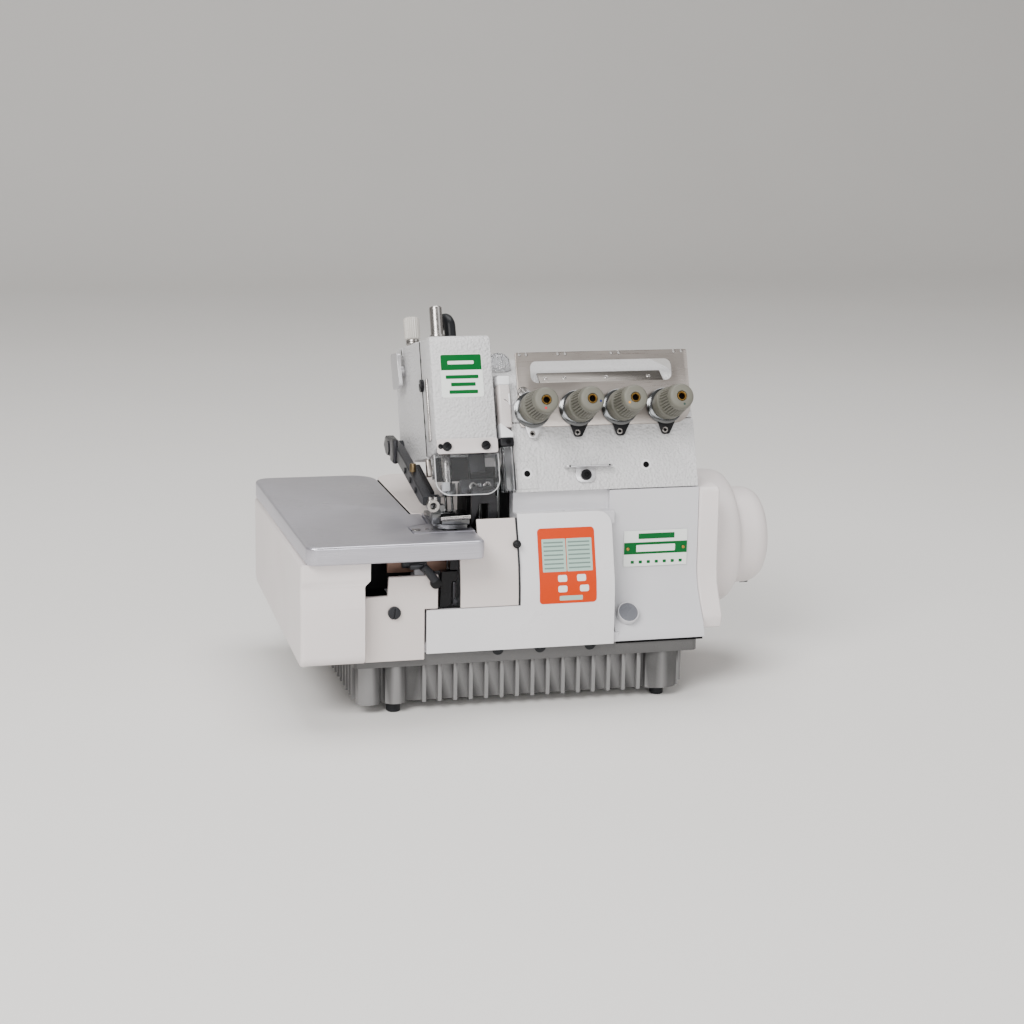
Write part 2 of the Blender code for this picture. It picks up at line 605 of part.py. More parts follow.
# ---------------------------------------------------------------------------- drive
def motor_adaptor():
    """Spacer casting between bed and motor, its front edge following the bed's flare."""
    outline = [(8.5, 48.5), (168.0, 48.5), (172.0, 56.0), (172.0, 146.0), (166.0, 151.0),
               (23.0, 151.0), (20.0, 148.0), (20.0, 92.0), (18.0, 80.0), (13.0, 70.0), (8.0, 62.0),
               (5.5, 57.0)]
    body = prism("motor_adaptor", 'X', outline, (BED_X[1] + GAP, ADAPTOR_RIGHT), bevel=1.0,
                 bevel_steps=1)
    return finish(body, "white_plastic")


def motor_housing():
    start = ADAPTOR_RIGHT + GAP
    depth = MOTOR_RIGHT - start
    profile = [(0.0, 0.0), (MOTOR_RADIUS, 0.0), (MOTOR_RADIUS, depth - 14.0),
               (MOTOR_RADIUS - 1.2, depth - 6.0), (MOTOR_RADIUS - 4.5, depth - 1.4),
               (MOTOR_RADIUS - 8.0, depth), (9.0, depth), (9.0, depth - 14.0), (0.0, depth - 14.0)]
    body = turned("motor_housing", profile, (start, DRIVE_Y, DRIVE_Z), (1, 0, 0), 40)
    return finish(body, "white_plastic")


def handwheel():
    """Handwheel at the right end, its short hub running inside the motor housing."""
    start = MOTOR_RIGHT + GAP
    width = WHEEL_RIGHT - start
    profile = [(0.0, -12.0), (8.4, -12.0), (8.4, 0.0), (WHEEL_RADIUS, 0.0),
               (WHEEL_RADIUS, width - 12.0), (WHEEL_RADIUS - 2.0, width - 6.0),
               (WHEEL_RADIUS - 6.5, width - 1.8), (WHEEL_RADIUS - 12.0, width), (0.0, width)]
    body = turned("handwheel", profile, (start, DRIVE_Y, DRIVE_Z), (1, 0, 0), 40)
    set_origin(body, (start, DRIVE_Y, DRIVE_Z))
    return finish(body, "white_plastic")


# ---------------------------------------------------------------------------- covers
def cloth_plate():
    corners = [(-38.6, -27.0), (86.0, -27.0), (86.0, 5.0), (42.0, 5.0), (42.0, 24.0), (58.0, 33.0),
               (60.0, 66.4), (52.0, 66.4), (52.0, 210.0), (-41.5, 212.0)]
    radii = [8.0, 5.0, 0.0, 0.0, 0.0, 0.0, 0.0, 0.0, 20.0, 12.0]
    plate = prism("cloth_plate", 'Z', rounded(corners, radii), (PLATE_TOP - 13.0, PLATE_TOP),
                  bevel=1.7)
    set_origin(plate, (*CLOTH_PIVOT, PLATE_TOP - 13.0))
    return finish(plate, "plate_steel")


def side_cover():
    """Hollow end cover under the cloth plate, open towards the machine and underneath."""
    top = PLATE_TOP - 13.0 - GAP
    face = rounded([(-42.0, 41.5), (3.0, 41.5), (3.0, 99.0), (6.7, 103.0), (6.7, top),
                    (-42.0, top)], [12.0, 0.0, 0.0, 0.0, 0.0, 0.0])
    body = prism("side_cover", 'Y', face, (-20.0, 203.0), bevel=4.0)
    inner_face = rounded([(-39.2, 30.0), (12.0, 30.0), (12.0, top - 2.6), (-39.2, top - 2.6)],
                         [0.0, 0.0, 0.0, 2.0], 2)
    inner = prism("inner", 'Y', inner_face, (-17.2, 200.2))
    clearance = box("clearance", (-3.0, 12.0), (-15.0, 215.0), (20.0, 130.0))
    sloped = prism("sloped", 'X', [(-30.0, 20.0), (215.0, 20.0), (215.0, 50.6), (-19.0, 41.5),
                                   (-30.0, 41.0)], (-60.0, 20.0))
    body = cut(body, inner, clearance, sloped)
    set_origin(body, (*CLOTH_PIVOT, PLATE_TOP - 13.0))
    return finish(body, "white_plastic")


def hinge_pin():
    """Upright hinge post of the cloth plate, on a bracket that reaches out from the base flange."""
    top = PLATE_TOP - 13.0 - 2.6 - 2.0 * GAP
    low, high = 38.5, 44.0
    x, y = CLOTH_PIVOT
    pin = rod("pin", (x, y, low + 1.0), (0, 0, 1), top - low - 1.0, 4.5, 14)
    eye = rod("plate_hinge", (x, y, low), (0, 0, 1), high - low, 8.0, 14)
    reach = box("reach", (x, -2.0 - GAP), (183.5, 188.5), (low + 0.2, high - 0.2))
    return finish(join(eye, reach, pin), "dark_steel")


def looper_cover():
    """Front cover of the loopers: a low band and a tall part that leans back at its top."""
    low = box("looper_cover", (49.5, 120.0), (-5.0, -2.0), (44.6, 76.2))
    front = [(-5.0, 44.6), (-5.0, 82.0), (-3.8, 92.0), (9.5, 139.6), (16.0, 139.6), (16.0, 137.9),
             (12.2, 137.9), (-0.9, 91.2), (-2.0, 82.0), (-2.0, 44.6)]
    tall = prism("tall", 'X', front, (117.5, 187.0))
    side = prism("side", 'X', [(-2.5, 92.0), (9.0, 92.0), (16.0, 137.9), (16.0, 139.6),
                               (9.5, 139.6), (-3.8, 92.0)], (184.4, 187.0))
    body = join(low, tall, side)
    corner = cut(prism("corner", 'Y', rectangle((177.0, 195.0), (129.6, 150.0)), (-20.0, 30.0)),
                 rod("round", (177.0, -25.0, 129.6), (0, 1, 0), 60.0, 10.0, 24))
    cut(body, corner)
    set_origin(body, (118.0, -3.5, 45.6))
    return finish(body, "machine_paint")


def chip_guard():
    """Curved sheet between the cloth plate and the looper cover that leads trimmings away."""
    outer = [(-4.6, 76.6), (-4.2, 90.0), (-2.0, 104.0), (3.0, 120.0), (10.0, 137.0)]
    inner = [(12.0, 136.2), (5.0, 119.3), (0.0, 103.5), (-2.2, 90.0), (-2.6, 76.6)]
    body = prism("chip_guard", 'X', outer + inner, (74.0, 117.1))
    under_plate = box("under_plate", (60.0, 88.0), (-20.0, 30.0), (115.5, 150.0))
    return finish(cut(body, under_plate), "cream_paint")


def cover_slide():
    """Sliding hinge rod on which the looper cover is drawn to the right and then tipped forward."""
    pin = rod("cover_slide", (100.0, 1.4, 56.0), (1, 0, 0), 40.0, 2.2, 10)
    set_origin(pin, (118.0, -3.5, 45.6))
    return finish(pin, "dark_steel")


def sight_plug():
    """Round grey plug of the oil sight hole, low on the bed's right front."""
    profile = [(0.0, 0.0), (7.8, 0.0), (7.8, 4.0), (6.9, 5.0), (0.0, 5.0)]
    axis = (0.0, -math.cos(math.radians(37.0)), math.sin(math.radians(37.0)))
    plug = turned("sight_plug", profile, (199.9, 6.4, 62.6), axis, 20)
    return finish(plug, "grey_plastic")


def build():
    clear_scene()
    base_casting()
    rubber_feet()
    bed_casting()
    bed_plate()
    needle_plate()
    feed_dog()
    lower_knife()
    front_panel()
    name_plate()
    sight_plug()
    arm_casting()
    arm_top_cover()
    oil_window()
    head_casting()
    face_cover()
    needle_bar_guard()
    oil_elbow()
    lifter_lever()
    pressure_screw()
    guard_bracket()
    eye_guard()
    thread_pipes()
    tension_plate()
    for number, x in enumerate(KNOB_X, start=1):
        tension_discs(number, x)
        tension_knob(number, x)
    guide_bracket()
    needle_bar()
    needle_clamp()
    looper("lower_looper", (62.0, 42.0, 66.0), (60.0, 108.0), (74.0, 114.0), 19.7)
    looper("upper_looper", (104.0, 24.0, 66.0), (101.0, 106.0), (87.0, 115.0), 43.7)
    upper_knife()
    presser_arm()
    presser_foot()
    motor_adaptor()
    motor_housing()
    handwheel()
    cloth_plate()
    side_cover()
    hinge_pin()
    looper_cover()
    chip_guard()
    cover_slide()


build()
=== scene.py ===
"""Looks of the overlock sewing machine: materials, fine detail, camera, light and floor.

Lengths are machine millimetres, as in the CAD: X to the right, Y towards the back, Z up. The arm,
the head and the tension plate lean back by LEAN, and their detail is placed in leaning coordinates
(x, b, u): b back and u up the lean, from the point where the needle meets the needle plate.
"""
import math

import bmesh
import bpy
from mathutils import Matrix, Vector


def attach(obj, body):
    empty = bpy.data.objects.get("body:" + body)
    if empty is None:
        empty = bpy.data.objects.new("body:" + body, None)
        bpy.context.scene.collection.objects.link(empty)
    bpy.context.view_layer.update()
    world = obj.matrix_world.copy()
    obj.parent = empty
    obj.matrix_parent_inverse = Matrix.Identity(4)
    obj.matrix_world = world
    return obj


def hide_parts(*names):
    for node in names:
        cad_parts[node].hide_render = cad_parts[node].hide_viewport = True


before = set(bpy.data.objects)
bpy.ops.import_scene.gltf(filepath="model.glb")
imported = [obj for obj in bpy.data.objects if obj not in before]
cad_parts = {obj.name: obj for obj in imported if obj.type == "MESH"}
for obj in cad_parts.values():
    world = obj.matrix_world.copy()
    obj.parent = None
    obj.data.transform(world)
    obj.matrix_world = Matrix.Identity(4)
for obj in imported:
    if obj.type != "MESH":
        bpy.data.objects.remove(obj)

MM = 0.001
PLAN_CENTRE = (144.25, 92.37)
NEEDLE_POINT = (0.0, 37.0, 130.0)
LEAN = math.radians(20.0)
SHARP = math.radians(38.0)

UPRIGHT = Matrix.Scale(MM, 4) @ Matrix.Translation((-PLAN_CENTRE[0], -PLAN_CENTRE[1], 0.0))
LEANING = UPRIGHT @ Matrix.Translation(NEEDLE_POINT) @ Matrix.Rotation(-LEAN, 4, 'X')
AXIS_ORDER = {'X': (2, 0, 1), 'Y': (0, 2, 1), 'Z': (0, 1, 2)}
FORWARD = (0, -1, 0)
LEFTWARD = (-1, 0, 0)
RIGHTWARD = (1, 0, 0)
UPWARD = (0, 0, 1)
TENSION_UNITS = range(1, 5)

CAMERA_PLACE = (-0.42179, -1.58846, 0.48841)
CAMERA_RIGHT = (0.96858, -0.24824, 0.01513)
CAMERA_UP = (0.03978, 0.21469, 0.97587)
LENS_MM = 79.2
SENSOR_MM = 36.0

# name, place and size in metres, power in watts, colour
LIGHTS = [
    ("key", (-1.3, -1.5, 1.7), (1.3, 1.0), 68.0, (1.0, 0.985, 0.97)),
    ("front", (-0.3, -2.4, 0.75), (1.8, 0.7), 22.0, (1.0, 1.0, 1.0)),
    ("fill", (1.5, -1.3, 1.0), (1.2, 1.2), 7.0, (0.98, 0.99, 1.0)),
    ("top", (0.1, 0.3, 1.9), (1.4, 1.0), 26.0, (1.0, 1.0, 1.0)),
]
LIGHT_AIM = (0.0, 0.0, 0.12)
SKY_COLOUR = (1.0, 0.985, 0.965, 1.0)
SKY_STRENGTH = 0.38


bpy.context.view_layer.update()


def span(node, coordinates=UPRIGHT):
    """Lowest and highest (x, y, z) or (x, b, u) of a CAD node, in millimetres."""
    back = coordinates.inverted()
    points = [back @ vertex.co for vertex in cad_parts[node].data.vertices]
    low = [min(p[i] for p in points) for i in range(3)]
    high = [max(p[i] for p in points) for i in range(3)]
    return low, high


# ---------------------------------------------------------------------------- materials
class Graph:
    """Small helper that adds and links shader nodes of one material."""

    def __init__(self, name):
        """New material, with its shader at hand."""
        self.material = bpy.data.materials.new(name)
        self.material.use_nodes = True
        self.tree = self.material.node_tree
        self.shader = self.tree.nodes["Principled BSDF"]
        self.place = self.tree.nodes.new("ShaderNodeTexCoord").outputs["Object"]

    def node(self, kind, **settings):
        """New shader node with the given settings."""
        made = self.tree.nodes.new(kind)
        for key, value in settings.items():
            setattr(made, key, value)
        return made

    def link(self, source, target):
        """Feed a socket from another."""
        self.tree.links.new(source, target)

    def colour(self, source):
        """Feed the shader's base colour."""
        self.link(source, self.shader.inputs["Base Color"])

    def rough(self, source):
        """Feed the shader's roughness."""
        self.link(source, self.shader.inputs["Roughness"])

    def stretched(self, scale):
        """Object coordinates scaled along each axis."""
        mapping = self.node("ShaderNodeMapping")
        mapping.inputs["Scale"].default_value = scale
        self.link(self.place, mapping.inputs["Vector"])
        return mapping.outputs["Vector"]

    def noise(self, scale, detail=4.0, stretch=(1.0, 1.0, 1.0), roughness=0.55):
        """Fractal noise from 0 to 1."""
        made = self.node("ShaderNodeTexNoise")
        made.inputs["Scale"].default_value = scale
        made.inputs["Detail"].default_value = detail
        made.inputs["Roughness"].default_value = roughness
        self.link(self.stretched(stretch), made.inputs["Vector"])
        return made.outputs["Fac"]

    def cells(self, scale):
        """Soft cells, as in wrinkle finish."""
        made = self.node("ShaderNodeTexVoronoi", feature='SMOOTH_F1')
        made.inputs["Scale"].default_value = scale
        made.inputs["Smoothness"].default_value = 0.6
        self.link(self.place, made.inputs["Vector"])
        return made.outputs["Distance"]

    def spread(self, value, low, high, start=0.3, end=0.7):
        """Remap a 0 to 1 texture to a range."""
        made = self.node("ShaderNodeMapRange")
        limits = {"From Min": start, "From Max": end, "To Min": low, "To Max": high}
        for key, number in limits.items():
            made.inputs[key].default_value = number
        self.link(value, made.inputs["Value"])
        return made.outputs["Result"]

    def mix(self, factor, first, second):
        """Blend two colours, each a value or a node's output."""
        made = self.node("ShaderNodeMix", data_type='RGBA')
        self.link(factor, made.inputs[0])
        for socket, colour in ((made.inputs[6], first), (made.inputs[7], second)):
            if isinstance(colour, tuple):
                socket.default_value = (*colour, 1.0)
            else:
                self.link(colour, socket)
        return made.outputs[2]

    def bump(self, heights):
        """Chain of bumps from (height, strength, distance in metres)."""
        normal = None
        for height, strength, distance in heights:
            made = self.node("ShaderNodeBump")
            made.inputs["Strength"].default_value = strength
            made.inputs["Distance"].default_value = distance
            self.link(height, made.inputs["Height"])
            if normal is not None:
                self.link(normal, made.inputs["Normal"])
            normal = made.outputs["Normal"]
        self.link(normal, self.shader.inputs["Normal"])

    def edge_mask(self, start, end):
        """1 on convex edges, or in corners where end is below start."""
        pointiness = self.node("ShaderNodeNewGeometry").outputs["Pointiness"]
        return self.spread(pointiness, 0.0, 1.0, start, end)

    def set(self, **values):
        """Plain values on the shader's own sockets."""
        for key, value in values.items():
            self.shader.inputs[key.replace("_", " ")].default_value = value


def darker(colour, factor):
    """The colour scaled, lighter where the factor is above 1."""
    return tuple(channel * factor for channel in colour)


def paint(name, colour, wrinkle=0.0, wrinkle_scale=900.0, roughness=(0.34, 0.46), grime=0.93):
    """Sprayed machine enamel: orange peel, faint mottling, painted shade darkening the corners."""
    graph = Graph(name)
    mottle = graph.spread(graph.noise(9.0, 5.0), 0.0, 1.0)
    body = graph.mix(mottle, colour, darker(colour, grime))
    # Painted shade: concave corners darkened to 0.8 of the paint colour.
    corner_shade = graph.edge_mask(0.47, 0.40)
    graph.colour(graph.mix(corner_shade, body, darker(colour, 0.80)))
    gloss = graph.spread(graph.noise(38.0, 6.0), *roughness)
    graph.rough(gloss)
    peel = graph.noise(520.0, 3.0)
    heights = [(peel, 0.10, 0.0002)]
    if wrinkle > 0.0:
        heights.append((graph.cells(wrinkle_scale), wrinkle, 0.0009))
        heights.append((graph.noise(wrinkle_scale * 1.7, 4.0), wrinkle * 0.6, 0.0004))
    graph.bump(heights)
    graph.set(Coat_Weight=0.12, Coat_Roughness=0.25, Specular_IOR_Level=0.45)
    return graph.material


def cast_metal(name, colour):
    """Sand-cast aluminium of the oil pan: grainy, blotched, brighter on its edges from rubbed wear and
    painted highlight.
    """
    graph = Graph(name)
    blotch = graph.spread(graph.noise(24.0, 6.0), 0.0, 1.0)
    body = graph.mix(blotch, colour, darker(colour, 0.72))
    fleck = graph.spread(graph.noise(1500.0, 2.0), 0.0, 0.35, 0.5, 0.8)
    body = graph.mix(fleck, body, darker(colour, 1.35))
    # Edges brightened 2.6 times: partly rubbed wear, partly painted highlight where the rib fronts
    # catch the light.
    bright_edges = graph.edge_mask(0.52, 0.60)
    graph.colour(graph.mix(bright_edges, body, darker(colour, 2.6)))
    graph.rough(graph.spread(graph.noise(60.0, 5.0), 0.42, 0.62))
    graph.bump([(graph.noise(900.0, 5.0), 0.35, 0.0005), (graph.noise(160.0, 3.0), 0.12, 0.0008)])
    graph.set(Metallic=0.4)
    return graph.material


def brushed(name, colour, along, roughness=(0.22, 0.36), depth=0.10, metallic=1.0):
    """Sheet steel brushed along one axis, with fine streaks and handling smudges."""
    graph = Graph(name)
    stretch = tuple(0.02 if axis == along else 1.0 for axis in "XYZ")
    streak = graph.noise(2600.0, 3.0, stretch)
    smudge = graph.noise(16.0, 6.0)
    tone = graph.mix(graph.spread(streak, 0.0, 1.0), colour, darker(colour, 0.84))
    smudged = graph.spread(smudge, 0.0, 0.5, 0.45, 0.75)
    graph.colour(graph.mix(smudged, tone, darker(colour, 0.92)))
    low, high = roughness
    rough = graph.node("ShaderNodeMath", operation='ADD')
    graph.link(graph.spread(streak, low, high), rough.inputs[0])
    graph.link(graph.spread(smudge, -0.03, 0.07), rough.inputs[1])
    graph.rough(rough.outputs[0])
    graph.bump([(streak, depth, 0.0002)])
    graph.set(Metallic=metallic, Anisotropic=0.45)
    return graph.material


def machined(name, colour, roughness=(0.16, 0.34), metallic=1.0):
    """Turned or ground steel: small scratches in every direction and random darker stains."""
    graph = Graph(name)
    scratch = graph.noise(700.0, 5.0, (1.0, 1.0, 0.25))
    stain = graph.spread(graph.noise(70.0, 5.0), 0.0, 1.0)
    tone = graph.mix(stain, colour, darker(colour, 0.80))
    bright_edges = graph.edge_mask(0.52, 0.62)
    graph.colour(graph.mix(bright_edges, tone, darker(colour, 1.2)))
    graph.rough(graph.spread(scratch, *roughness))
    graph.bump([(scratch, 0.08, 0.0002)])
    graph.set(Metallic=metallic)
    return graph.material


def moulded(name, colour, roughness, grain, depth, edge, gloss=0.4):
    """Moulded plastic or rubber: fine grain, slight blotches and polished edges."""
    graph = Graph(name)
    blotch = graph.spread(graph.noise(45.0, 5.0), 0.0, 1.0)
    tone = graph.mix(blotch, colour, darker(colour, 0.86))
    bright_edges = graph.edge_mask(0.53, 0.62)
    graph.colour(graph.mix(bright_edges, tone, darker(colour, edge)))
    graph.rough(graph.spread(graph.noise(110.0, 4.0), *roughness))
    graph.bump([(graph.noise(grain, 3.0), depth, 0.0003)])
    graph.set(Specular_IOR_Level=gloss)
    return graph.material


def clear(name, colour, transmission, roughness=(0.04, 0.14)):
    """Clear or milky plastic with flow ripples and fine scratches."""
    graph = Graph(name)
    haze = graph.spread(graph.noise(35.0, 5.0), 0.0, 1.0)
    graph.colour(graph.mix(haze, colour, darker(colour, 0.93)))
    graph.rough(graph.spread(graph.noise(240.0, 5.0), *roughness))
    graph.bump([(graph.noise(60.0, 3.0), 0.12, 0.001)])
    graph.set(Transmission_Weight=transmission, IOR=1.45)
    return graph.material


def printed(name, colour):
    """Printed film of a sticker: even ink with tiny grain and soft gloss changes."""
    graph = Graph(name)
    grain = graph.spread(graph.noise(2200.0, 2.0), 0.0, 1.0)
    graph.colour(graph.mix(grain, colour, darker(colour, 0.92)))
    graph.rough(graph.spread(graph.noise(90.0, 4.0), 0.28, 0.4))
    graph.bump([(graph.noise(300.0, 3.0), 0.05, 0.0002)])
    graph.set(Specular_IOR_Level=0.2)
    return graph.material


CAST = cast_metal("cast_base", (0.085, 0.084, 0.084))
ENAMEL = paint("machine_paint", (0.62, 0.615, 0.64))
WRINKLED = paint("wrinkled_paint", (0.62, 0.615, 0.62), wrinkle=1.0, wrinkle_scale=540.0)
COVER_PAINT = paint("cover_paint", (0.73, 0.72, 0.735), roughness=(0.26, 0.36))
WARM_WHITE = paint("warm_white", (0.76, 0.705, 0.695), roughness=(0.36, 0.46))
CREAM = paint("cream_paint", (0.66, 0.60, 0.575), roughness=(0.34, 0.44), grime=0.95)
PLATE = brushed("plate_steel", (0.56, 0.55, 0.605), "X", (0.26, 0.36), 0.06, 0.85)
BRIGHT = machined("bright_steel", (0.42, 0.40, 0.385))
CHROME = machined("dark_chrome", (0.13, 0.133, 0.135), (0.10, 0.22))
BRUSHED = brushed("brushed_stainless", (0.40, 0.36, 0.33), "X", (0.24, 0.38))
# Shaded copy of the brushed stainless at half its brightness, for the folded ledge: painted shade.
SHADED_STAINLESS = brushed("shaded_stainless", (0.20, 0.185, 0.17), "X", (0.24, 0.38))
SATIN = brushed("satin_sheet", (0.66, 0.655, 0.67), "Z", (0.30, 0.42), 0.05, 0.8)
DARK = machined("dark_steel", (0.016, 0.017, 0.021), (0.26, 0.44), 0.35)
GUNMETAL = machined("gunmetal", (0.024, 0.024, 0.027), (0.26, 0.42), 0.6)
RUBBER = moulded("black_rubber", (0.009, 0.010, 0.012), (0.30, 0.50), 600.0, 0.2, 1.5, 0.25)
BLACK = moulded("blackened_screw", (0.005, 0.005, 0.006), (0.26, 0.42), 900.0, 0.15, 2.5, 0.2)
# Near-black finish: painted shade at the bottom of holes and inside recesses, and the dark of seams
# and joints.
HOLLOW = moulded("hollow_shade", (0.003, 0.003, 0.0035), (0.55, 0.7), 300.0, 0.3, 1.0, 0.08)
KNOB = moulded("knob_plastic", (0.135, 0.132, 0.108), (0.42, 0.56), 1600.0, 0.12, 1.35)
BRASS = machined("brass_bush", (0.42, 0.25, 0.07), (0.18, 0.32))
OLD_BRASS = machined("old_brass", (0.17, 0.125, 0.07), (0.28, 0.42))
# Brown metal whose brown stands in for a brownish reflection: painted reflection.
REFLECTED_BROWN = machined("brown_painted_reflection", (0.17, 0.10, 0.075), (0.35, 0.5), 0.5)
MILKY = clear("milky_plastic", (0.60, 0.575, 0.53), 0.12, (0.25, 0.42))
CLEAR = clear("clear_plastic", (0.90, 0.91, 0.93), 0.98, (0.01, 0.04))
CLEAR_RIM = clear("rim_highlight", (0.80, 0.80, 0.81), 0.35, (0.10, 0.2))
PALE_TUBE = clear("pale_tube", (0.80, 0.745, 0.73), 0.25, (0.15, 0.28))
WHITE = moulded("white_plastic", (0.84, 0.84, 0.86), (0.25, 0.36), 500.0, 0.06, 1.05)
GREY_CAP = moulded("grey_plastic", (0.15, 0.155, 0.175), (0.22, 0.34), 260.0, 0.08, 1.5)
INK_GREEN = printed("green_ink", (0.0, 0.105, 0.02))
INK_WHITE = printed("white_film", (0.80, 0.83, 0.80))
INK_ORANGE = printed("orange_film", (0.60, 0.042, 0.0))
INK_MINT = printed("mint_film", (0.38, 0.53, 0.46))
INK_GREY = printed("grey_ink", (0.16, 0.22, 0.20))
DOTS = [printed(f"dot_ink_{i}", colour) for i, colour in
        enumerate([(0.65, 0.02, 0.04), (0.02, 0.03, 0.14), (0.75, 0.33, 0.02), (0.03, 0.06, 0.05)])]


# ---------------------------------------------------------------------------- shapes
def rounded(corners, radii, steps=6):
    """Outline through the corners, each corner replaced by an arc of its own radius."""
    points = []
    count = len(corners)
    for i, (corner, radius) in enumerate(zip(corners, radii)):
        here = Vector(corner)
        before = (Vector(corners[i - 1]) - here).normalized()
        after = (Vector(corners[(i + 1) % count]) - here).normalized()
        if radius <= 0.0:
            points.append(tuple(here))
            continue
        half = before.angle(after) / 2.0
        reach = radius / math.tan(half)
        centre = here + (before + after).normalized() * (radius / math.sin(half))
        start = here + before * reach - centre
        sweep = start.angle_signed(here + after * reach - centre)
        for step in range(steps + 1):
            spoke = Matrix.Rotation(-sweep * step / steps, 2) @ start
            points.append(tuple(centre + spoke))
    return points


def rectangle(p_range, q_range, radius=0.0, steps=6):
    """Rectangular outline, its corners rounded by one radius."""
    corners = [(p_range[0], q_range[0]), (p_range[1], q_range[0]),
               (p_range[1], q_range[1]), (p_range[0], q_range[1])]
    return rounded(corners, [radius] * 4, steps)


def settled(data, coordinates):
    """The mesh moved to its place, its faces turned outwards."""
    bmesh.ops.transform(data, matrix=coordinates, verts=data.verts)
    bmesh.ops.recalc_face_normals(data, faces=data.faces)
    return data


def round_edges(data, edges, width, segments):
    """Bevel the edges to a round of the given width."""
    bmesh.ops.bevel(data, geom=edges, offset=width, segments=segments, profile=0.5,
                    affect='EDGES', clamp_overlap=True)


def prism(axis, outline, limits, coordinates=UPRIGHT, bevel=0.0, steps=3):
    """Outline extruded along one axis, its sharp edges rounded by the bevel."""
    order = AXIS_ORDER[axis]
    data = bmesh.new()
    rings = []
    for level in limits:
        triples = [(p, q, level) for p, q in outline]
        rings.append([data.verts.new([t[order[0]], t[order[1]], t[order[2]]]) for t in triples])
    data.faces.new(rings[0])
    data.faces.new(list(reversed(rings[1])))
    count = len(outline)
    for i in range(count):
        j = (i + 1) % count
        data.faces.new([rings[0][i], rings[0][j], rings[1][j], rings[1][i]])
    if bevel > 0.0:
        bmesh.ops.recalc_face_normals(data, faces=data.faces)
        edges = [e for e in data.edges if e.calc_face_angle(0.0) > math.radians(30.0)]
        round_edges(data, edges, bevel, steps)
    return settled(data, coordinates)


def box(x_range, y_range, z_range, coordinates=UPRIGHT, bevel=0.4, steps=2):
    """Rectangular block."""
    return prism('Z', rectangle(x_range, y_range), z_range, coordinates, bevel, steps)


def towards(centre, axis, coordinates=UPRIGHT, turn=0.0):
    """Local coordinates at a point, their Z along the axis."""
    tilt = Vector((0.0, 0.0, 1.0)).rotation_difference(Vector(axis)).to_matrix().to_4x4()
    return coordinates @ Matrix.Translation(centre) @ tilt @ Matrix.Rotation(turn, 4, 'Z')


def turned(profile, centre, axis, coordinates=UPRIGHT, segments=64, flutes=0):
    """Body of revolution from (radius, height) or (radius, height, flute depth) rows."""
    data = bmesh.new()
    rings = []
    for row in profile:
        radius, height = row[0], row[1]
        depth = row[2] if len(row) > 2 else 0.0
        if radius <= 0.0:
            rings.append([data.verts.new((0.0, 0.0, height))])
            continue
        ring = []
        for k in range(segments):
            angle = 2.0 * math.pi * k / segments
            reach = radius - depth * (0.5 - 0.5 * math.cos(flutes * angle)) ** 2
            ring.append(data.verts.new((reach * math.cos(angle), reach * math.sin(angle), height)))
        rings.append(ring)
    for lower, upper in zip(rings, rings[1:]):
        for k in range(segments):
            n = (k + 1) % segments
            corners = [lower[k % len(lower)], lower[n % len(lower)],
                       upper[n % len(upper)], upper[k % len(upper)]]
            data.faces.new(list(dict.fromkeys(corners)))
    return settled(data, towards(centre, axis, coordinates))


def disc(centre, axis, radius, height, coordinates=UPRIGHT, edge=0.3, segments=32):
    """Low round boss with a rounded rim."""
    profile = [(0.0, 0.0), (radius, 0.0), (radius, height - edge),
               (radius - edge * 0.3, height - edge * 0.3), (radius - edge, height), (0.0, height)]
    return turned(profile, centre, axis, coordinates, segments)


def ring(centre, axis, outer, inner, height, coordinates=UPRIGHT, segments=40):
    """Flat ring with softened rims."""
    soft = min(0.3, (outer - inner) / 4.0, height / 3.0)
    profile = [(inner, 0.0), (outer, 0.0), (outer, height - soft), (outer - soft, height),
               (inner + soft, height), (inner, height - soft), (inner, 0.0)]
    data = turned(profile, centre, axis, coordinates, segments)
    bmesh.ops.remove_doubles(data, verts=data.verts, dist=1e-7)
    return data


def slotted(centre, axis, radius, height, coordinates=UPRIGHT, turn=0.6, slot=0.9):
    """Cheese-head screw whose slot is cut into the head."""
    local = towards(centre, axis, coordinates, turn)
    parts = [disc((0, 0, 0), UPWARD, radius, height * 0.5, local)]
    limit = math.acos(slot / 2.0 / radius)
    for side in (1.0, -1.0):
        outline = []
        for k in range(17):
            angle = math.pi / 2.0 - limit + 2.0 * limit * k / 16.0
            outline.append((radius * math.cos(angle), side * radius * math.sin(angle)))
        parts.append(prism('Z', outline, (height * 0.5, height), local, 0.18, 2))
    return merged(parts)


def socket_head(centre, axis, radius, height, coordinates=UPRIGHT):
    """Socket-head screw with a round recess."""
    well = radius * 0.5
    floor = height * 0.4
    profile = [(0.0, 0.0), (radius, 0.0), (radius, height - 0.5), (radius - 0.5, height),
               (radius * 0.55, height), (well, height - 0.3), (well, floor), (0.0, floor)]
    local = towards(centre, axis, coordinates)
    return turned(profile, (0, 0, 0), UPWARD, local, 36)


